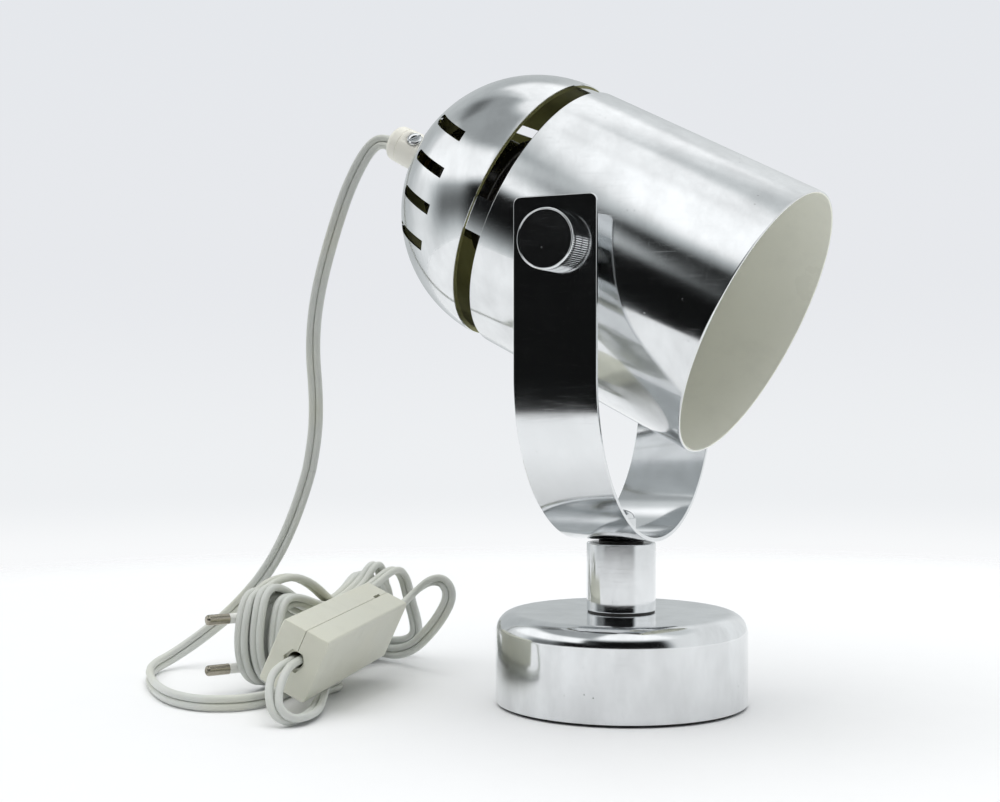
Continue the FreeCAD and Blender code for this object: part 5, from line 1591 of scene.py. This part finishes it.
def hank_route(turns):
    """The turns of the hank: each goes back over the top, round the near end, under, and round the far end."""
    cos, sin = math.cos(HANK_HEADING), math.sin(HANK_HEADING)
    made = []
    for number, (far_right, top_right, near_right, far, near, low, far_top, near_top, dip, back) in enumerate(turns):
        middle = (low + near_top) / 2
        under_right = min(far_right, near_right)
        if number:
            far_middle = (low + far_top) / 2
            made += [
                (far_right, far - 13, low + 0.6), (far_right, far - 3.4, low + 4.6), (far_right, far, far_middle),
                (far_right, far - 2.6, far_top - 5.5), (far_right, far - 9.5, far_top),
            ]
        made += [
            (far_right, far - 24, (far_top + 2 * dip) / 3), (0.5 * (far_right + top_right), near + back + 28, dip),
            (top_right, near + back + 4, near_top - 1.0),
            (0.6 * top_right + 0.4 * near_right, near + 0.45 * back, near_top - 1.2),
            (near_right, near + 1.2, middle + 7.5), (near_right, near, middle - 3), (near_right, near + 3.8, low + 5.6),
            (near_right, near + 13, low + 0.4), (under_right, 0.3 * near, low), (under_right, 8, low),
        ]
    return [((HANK_X + right * cos - (along + HANK_NEAR) * sin, along * cos + right * sin, height), SIDE)
            for right, along, height in made]


def smooth_line(name, route, resolution):
    """The cord's middle line as points, and the way of its width at each."""
    curve = bpy.data.curves.new(name + "_route", "CURVE")
    curve.dimensions = "3D"
    spline = curve.splines.new("NURBS")
    spline.points.add(len(route) - 1)
    for point, (spot, way) in zip(spline.points, route):
        point.co = (spot[0] * MM, spot[1] * MM, spot[2] * MM, 1)
    spline.order_u = 3
    spline.use_endpoint_u = True
    spline.resolution_u = resolution
    holder = bpy.data.objects.new(name + "_route", curve)
    bpy.context.scene.collection.objects.link(holder)
    bpy.context.view_layer.update()
    line = bpy.data.meshes.new_from_object(holder)
    points = [vertex.co.copy() for vertex in line.vertices]
    bpy.data.meshes.remove(line)
    bpy.data.objects.remove(holder)
    bpy.data.curves.remove(curve)

    reach = [0.0]
    for (before, _), (after, _) in zip(route, route[1:]):
        reach.append(reach[-1] + (Vector(after) - Vector(before)).length)
    run = [0.0]
    for before, after in zip(points, points[1:]):
        run.append(run[-1] + (after - before).length)
    ways = []
    slot = 0
    last = None
    for number, point in enumerate(points):
        wanted = run[number] / run[-1] * reach[-1]
        while slot < len(route) - 2 and wanted > reach[slot + 1]:
            slot += 1
        part = (wanted - reach[slot]) / (reach[slot + 1] - reach[slot])
        first, second = Vector(route[slot][1]).normalized(), Vector(route[slot + 1][1]).normalized()
        if first.dot(second) < -0.2:
            second = -second
        way = first.lerp(second, max(0.0, min(1.0, part)))
        ahead = points[min(number + 1, len(points) - 1)] - points[max(number - 1, 0)]
        ahead.normalize()
        way = (way - ahead * way.dot(ahead)).normalized()
        if last is not None and way.dot(last) < 0:
            way = -way
        ways.append((way, ahead))
        last = way
    for _ in range(6):
        mixed = []
        for number, (way, ahead) in enumerate(ways):
            near = ways[max(number - 1, 0)][0] + way * 2 + ways[min(number + 1, len(ways) - 1)][0]
            near = (near - ahead * near.dot(ahead)).normalized()
            mixed.append((near, ahead))
        ways = mixed
    return points, ways, run[-1]


def twin_cord(name, points, ways, size, apart=None):
    """The cord's skin: two round halves side by side along the line; apart(share of length) parts them."""
    places, faces, normals = [], [], []
    radius = size.conductor
    for half in (-1, 1):
        start = len(places)
        for number, (point, (way, ahead)) in enumerate(zip(points, ways)):
            gap = radius * 0.96 + (apart(number / (len(points) - 1)) if apart else 0.0)
            centre = point + way * half * gap
            other = ahead.cross(way)
            for step in range(size.sides):
                turn = 2 * math.pi * step / size.sides
                out = way * math.cos(turn) + other * math.sin(turn)
                places.append(centre + out * radius)
                normals.append(out)
        count = len(points)
        faces += tube_faces(count, size.sides, start)
        faces.append([start + step for step in reversed(range(size.sides))])
        faces.append([start + (count - 1) * size.sides + step for step in range(size.sides)])
    mesh = bpy.data.meshes.new(name)
    mesh.from_pydata(places, [], faces)
    keep_normals(mesh, normals)
    return mesh


class LAMP_OT_cord(Operator):
    """Lay the flat twin cord from the dome to the switch, and from the switch through the hank to the plug"""
    bl_idname = "lamp.cord"
    bl_label = "Cord"

    def execute(self, context):
        size = context.scene.lamp_cord

        points, ways, run = smooth_line("cord_upper", UPPER_ROUTE, 10)
        upper = shown("cord_upper_twin", twin_cord("cord_upper_twin", points, ways, size), "cord_vinyl")
        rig.blend(upper, "yoke", "head", start=points[-1], end=points[0])
        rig.replaces(upper, "cord_upper")
        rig.slot(upper, "cord_plastic")
        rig.cord(upper, exit=points[0], length=run, diameter=size.width, far_end="object", stiffness="medium",
                lay="hanging", path=points)
        split = points[-1]

        def loosened(part):
            return 0.55 * MM * max(0.0, math.sin(math.pi * min(1.0, max(0.0, (part - 0.86) / 0.13)))) ** 2

        points, ways, run = smooth_line("cord_lower", LOWER_ROUTE, 8)
        lower = shown("cord_lower_twin", twin_cord("cord_lower_twin", points, ways, size, loosened), "cord_vinyl")
        leaning = Vector((0, 0.5, 0.87)).normalized()
        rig.blend(lower, "base", "yoke", start=split - leaning * 0.062, end=split)
        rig.replaces(lower, "cord_lower")
        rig.slot(lower, "cord_plastic")
        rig.cord(lower, exit=points[0], length=run, diameter=size.width, far_end="object", stiffness="medium",
                lay="loose", path=points)

        turns = [HANK_TURNS[number % len(HANK_TURNS)] for number in range(size.turns)]
        route = LEAD_ROUTE + hank_route(turns) + TAIL_ROUTE
        points, ways, run = smooth_line("cord_to_plug", route, 6)
        supply = shown("cord_to_plug_twin", twin_cord("cord_to_plug_twin", points, ways, size), "cord_vinyl")
        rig.ride(supply, "base")
        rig.replaces(supply, "cord_lead", "cord_hank", "cord_tail")
        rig.slot(supply, "cord_plastic")
        relief = self.strain_relief(points, ways)
        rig.cord(supply, exit=points[0], length=run, diameter=size.width, far_end="plug", stiffness="medium",
                lay="coiled", path=points,
                with_pieces=[relief, "plug_body_moulded", "plug_pins_bare", "plug_pins_sleeved"])
        return {"FINISHED"}

    def strain_relief(self, points, ways):
        """The tapered sleeve that leads the cord out of the plug."""
        run, ring_gap, ring_depth = 21 * MM, 2.4 * MM, 0.18 * MM
        reach, rows = 0.0, []
        for number in range(len(points) - 1, 0, -1):
            if reach > run:
                break
            rows.append((points[number], ways[number], reach))
            reach += (points[number] - points[number - 1]).length
        steps = 24
        places = []
        for point, (way, ahead), reach in rows:
            part = reach / run
            ring = ring_depth if (reach % ring_gap) < 0.5 * ring_gap else 0.0
            wide = (5.2 - 1.9 * part) * MM - ring
            thick = (4.0 - 2.0 * part) * MM - ring
            other = ahead.cross(way)
            for step in range(steps):
                turn = 2 * math.pi * step / steps
                places.append(point + way * wide * math.cos(turn) + other * thick * math.sin(turn))
        faces = [[b, a, d, c] for a, b, c, d in tube_faces(len(rows), steps)]
        faces.append(list(range(steps)))
        faces.append([(len(rows) - 1) * steps + step for step in reversed(range(steps))])
        mesh = bpy.data.meshes.new("plug_strain_relief")
        mesh.from_pydata(places, [], faces)
        relief = shown("plug_strain_relief", crisp(facing_out(mesh), 50), "cord_vinyl")
        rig.ride(relief, "base")
        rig.slot(relief, "cord_plastic")
        return relief


# ----------------------------------------------------------------------------- inner parts
INNER_FINISHES = {
    "base_weight": "cast_iron", "foot_washer": "plain_steel", "foot_nut": "plain_steel",
    "stem_foot_ring": "dark_fibre", "stem_lower_bush": "plain_steel", "stem_upper_bush": "plain_steel",
    "friction_washer": "dark_fibre", "tie_rod": "plain_steel", "threaded_insert_near": "bare_brass",
    "threaded_insert_far": "bare_brass", "threaded_nipple": "bare_brass", "lock_nut": "bare_brass",
    "contact_block": "glazed_porcelain", "rocker_pin": "plain_steel", "switch_contacts": "bare_brass",
    "cord_clamps": "switch_moulding",
}


class LAMP_OT_inner_parts(Operator):
    """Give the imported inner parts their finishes"""
    bl_idname = "lamp.inner_parts"
    bl_label = "Inner parts"

    def execute(self, context):
        for node, finish_name in INNER_FINISHES.items():
            thing = frame["nodes"][node]
            for slot in thing.material_slots:
                slot.material = bpy.data.materials[finish_name]
        return {"FINISHED"}


# ----------------------------------------------------------------------------- stage
# Brightness of the surround where no patch lies.
STUDIO_LEVEL = 0.94
# The patches: middle azimuth and elevation, half width, half height and softness, all in degrees,
# and the brightness there.  A later patch lies over an earlier one.
STUDIO = [
    (133, 25, 31, 38, 13, 0.59),
    (205, 61, 60, 18, 6, 0.42),
    (163, 54, 12, 6, 5, 0.19),
    (42, 66, 34, 13, 5, 0.73),
    (110, 66, 24, 15, 5, 1.27),
    (0, 90, 400, 9, 3, 1.18),
    (222, 5, 23, 14, 13, 0.19),
    (308, 62, 44, 17, 8, 1.32),
    (285, 8, 52, 31, 8, 0.007),
    (262, 22, 7, 9, 6, 0.053),
    (213, 32, 42, 12, 5, 1.27),
]


def studio_patch(tree, level, ahead, elevation, patch):
    """Lay one softly edged patch of brightness over the surround."""
    azimuth, height, half_wide, half_high, soft, bright = patch
    turn = math.radians(azimuth)
    toward = add_node(tree, "VectorMath", {0: ahead, 1: (math.cos(turn), math.sin(turn), 0)},
                      operation="DOT_PRODUCT").outputs["Value"]
    away = add_node(tree, "Math", {0: toward}, operation="ARCCOSINE").outputs[0]
    above = add_node(tree, "Math", {0: sum_of(tree, "SUBTRACT", elevation, math.radians(height))},
                     operation="ABSOLUTE").outputs[0]
    edge = math.radians(soft)
    wide = spread(tree, away, math.radians(half_wide) - edge, math.radians(half_wide) + edge, 1.0, 0.0, True)
    high = spread(tree, above, math.radians(half_high) - edge, math.radians(half_high) + edge, 1.0, 0.0, True)
    mask = sum_of(tree, "MULTIPLY", wide, high)
    return add_node(tree, "Mix", {0: mask, 2: level, 3: bright}, data_type="FLOAT").outputs[0]


class LAMP_OT_stage(Operator):
    """Set up the table, the studio surround, the light from above and the camera"""
    bl_idname = "lamp.stage"
    bl_label = "Stage"

    def execute(self, context):
        settings = context.scene.lamp_stage
        self.table(settings)
        self.surround(context.scene, settings)
        self.key_light(settings)
        self.camera(context.scene, settings)
        return {"FINISHED"}

    def table(self, settings):
        """A round white table top that fades out at its rim."""
        outline = [(Vector((0.66, -0.0002)), Vector((0, 1))), (Vector((0, -0.0002)), Vector((0, 1)))]
        tree, shader, where = finish("table_top", 0.55)
        shader.inputs["Specular IOR Level"].default_value = 0.2
        flat = add_node(tree, "VectorMath", {0: where, 1: (1.0, 1.0, 0.0)}, operation="MULTIPLY").outputs[0]
        radius = add_node(tree, "VectorMath", {0: flat}, operation="LENGTH").outputs["Value"]
        depth = add_node(tree, "SeparateXYZ", {0: where}).outputs["Y"]
        front, back = -0.2, 0.2
        fade_from = spread(tree, depth, front, back, 0.55, 0.48)
        fade_to = spread(tree, depth, front, back, 0.57, 0.62)
        gone = spread(tree, radius, fade_from, fade_to, 0.0, 1.0, True)
        speckle = noise(tree, where, 60.0, 3.0)
        tone = blend_colours(tree, speckle, rgba(settings.floor_colour), rgba(settings.floor_colour, 0.985))
        tree.links.new(tone, shader.inputs["Base Color"])
        clear = add_node(tree, "BsdfTransparent")
        mixed = add_node(tree, "MixShader", {0: gone, 1: shader.outputs[0], 2: clear.outputs[0]})
        tree.links.new(mixed.outputs[0], tree.nodes["Material Output"].inputs["Surface"])
        table = shown("table_top", lathe("table_top", outline, 96, closed=False), "table_top")
        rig.stage(table)

    def surround(self, scene, settings):
        """A pale studio: soft boxes at the sides and overhead, and the dark of the room in front.

        Reflections, other light and the plain backdrop each have their own strength.
        """
        world = bpy.data.worlds.new("studio")
        world.use_nodes = True
        scene.world = world
        tree = world.node_tree
        tree.nodes.clear()
        way = add_node(tree, "TexCoord").outputs["Generated"]
        parts = add_node(tree, "SeparateXYZ", {0: way})
        level_way = add_node(tree, "CombineXYZ", {0: parts.outputs["X"], 1: parts.outputs["Y"], 2: 0.0}).outputs[0]
        ahead = add_node(tree, "VectorMath", {0: level_way}, operation="NORMALIZE").outputs[0]
        elevation = add_node(tree, "Math", {0: parts.outputs["Z"]}, operation="ARCSINE").outputs[0]
        level = add_node(tree, "Value").outputs[0]
        level.default_value = STUDIO_LEVEL
        for patch in STUDIO:
            level = studio_patch(tree, level, ahead, elevation, patch)
        cool_dark, cool_light = (0.93, 0.985, 1.0, 1.0), (0.98, 0.992, 1.0, 1.0)
        tint = blend_colours(tree, spread(tree, level, 0.5, 1.1, 0.0, 1.0), cool_dark, cool_light)
        reflected = sum_of(tree, "MULTIPLY", level, settings.surround_strength)
        lit = add_node(tree, "Background", {"Color": tint, "Strength": reflected})
        height = spread(tree, elevation, math.radians(-8), math.radians(16), 0.0, 1.0)
        backdrop = add_node(tree, "ValToRGB", {0: height})
        ramp = backdrop.color_ramp
        ramp.interpolation = "EASE"
        ramp.elements[0].position, ramp.elements[0].color = 0.0, (0.965, 0.975, 0.985, 1.0)
        ramp.elements[1].position, ramp.elements[1].color = 1.0, (0.785, 0.805, 0.838, 1.0)
        for spot, tone in ((0.10, (0.945, 0.955, 0.965, 1.0)), (0.20, (0.855, 0.872, 0.890, 1.0)),
                           (0.55, (0.800, 0.815, 0.845, 1.0))):
            element = ramp.elements.new(spot)
            element.color = tone
        plain = add_node(tree, "Background", {"Color": backdrop.outputs[0], "Strength": 1.0})
        ray = add_node(tree, "LightPath")
        filling = sum_of(tree, "MULTIPLY", level, settings.fill_strength)
        soft = add_node(tree, "Background", {"Color": tint, "Strength": filling})
        unseen = add_node(tree, "MixShader", {0: ray.outputs["Is Glossy Ray"], 1: soft.outputs[0], 2: lit.outputs[0]})
        both = add_node(tree, "MixShader", {0: ray.outputs["Is Camera Ray"], 1: unseen.outputs[0], 2: plain.outputs[0]})
        out = add_node(tree, "OutputWorld")
        tree.links.new(both.outputs[0], out.inputs["Surface"])

    def key_light(self, settings):
        """A broad sun from above."""
        sun = bpy.data.lights.new("overhead_soft", "SUN")
        sun.energy = settings.key_strength
        sun.angle = math.radians(80)
        sun.color = (1.0, 0.995, 0.985)
        lamp = bpy.data.objects.new("overhead_soft", sun)
        lamp.rotation_euler = (math.radians(8), math.radians(-4), 0)
        lamp.visible_glossy = False
        bpy.context.scene.collection.objects.link(lamp)

    def camera(self, scene, settings):
        """The main view's camera."""
        view = bpy.data.cameras.new("view")
        view.sensor_fit = "HORIZONTAL"
        view.sensor_width = 36.0
        view.lens = settings.lens
        view.clip_start = 0.01
        view.clip_end = 20.0
        camera = bpy.data.objects.new("view", view)
        camera.location = settings.camera_place
        camera.rotation_euler = (math.pi / 2 - settings.camera_pitch, 0, settings.camera_heading)
        scene.collection.objects.link(camera)
        scene.camera = camera
        scene.view_settings.view_transform = "Standard"


# ----------------------------------------------------------------------------- panel and running order
SETTINGS = {
    "lamp_finishes": LampFinishes, "lamp_base": BaseSizes, "lamp_stem": StemSizes, "lamp_yoke": YokeSizes,
    "lamp_head": HeadSizes, "lamp_pivot": PivotSizes, "lamp_holder": LampholderSizes, "lamp_grip": GripSizes,
    "lamp_switch": SwitchSizes, "lamp_plug": PlugSizes, "lamp_cord": CordSizes, "lamp_stage": StageSettings,
}
STEPS = [
    LAMP_OT_finishes, LAMP_OT_stage, LAMP_OT_plug, LAMP_OT_cord, LAMP_OT_base, LAMP_OT_stem, LAMP_OT_yoke,
    LAMP_OT_shade, LAMP_OT_dome, LAMP_OT_pivot, LAMP_OT_lampholder, LAMP_OT_grip, LAMP_OT_switch,
    LAMP_OT_inner_parts,
]


class LAMP_PT_panel(Panel):
    """The lamp's pieces in the sidebar of the 3D view"""
    bl_idname = "LAMP_PT_panel"
    bl_label = "Searchlight lamp"
    bl_space_type = "VIEW_3D"
    bl_region_type = "UI"
    bl_category = "Lamp"

    def draw(self, context):
        for step in STEPS:
            self.layout.operator(step.bl_idname)
        for name, kind in SETTINGS.items():
            box = self.layout.box()
            settings = getattr(context.scene, name)
            for setting in kind.__annotations__:
                box.prop(settings, setting)


def register():
    """Register the settings, the steps and the panel."""
    for name, kind in SETTINGS.items():
        bpy.utils.register_class(kind)
        setattr(bpy.types.Scene, name, PointerProperty(type=kind))
    for kind in STEPS + [LAMP_PT_panel]:
        bpy.utils.register_class(kind)


def unregister():
    """Take away all that register() added."""
    for kind in reversed(STEPS + [LAMP_PT_panel]):
        bpy.utils.unregister_class(kind)
    for name, kind in reversed(list(SETTINGS.items())):
        delattr(bpy.types.Scene, name)
        bpy.utils.unregister_class(kind)


def main():
    """Build the lamp step by step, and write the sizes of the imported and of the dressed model."""
    register()
    for step in STEPS:
        group, name = step.bl_idname.split(".")
        getattr(getattr(bpy.ops, group), name)()
    low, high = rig.bounds()
    with open("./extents.json", "w") as out:
        json.dump({"cad": [[float(v) for v in CAD_LOW], [float(v) for v in CAD_HIGH]],
                   "visual": [[float(v) for v in low], [float(v) for v in high]]}, out)


if __name__ == "__main__":
    main()
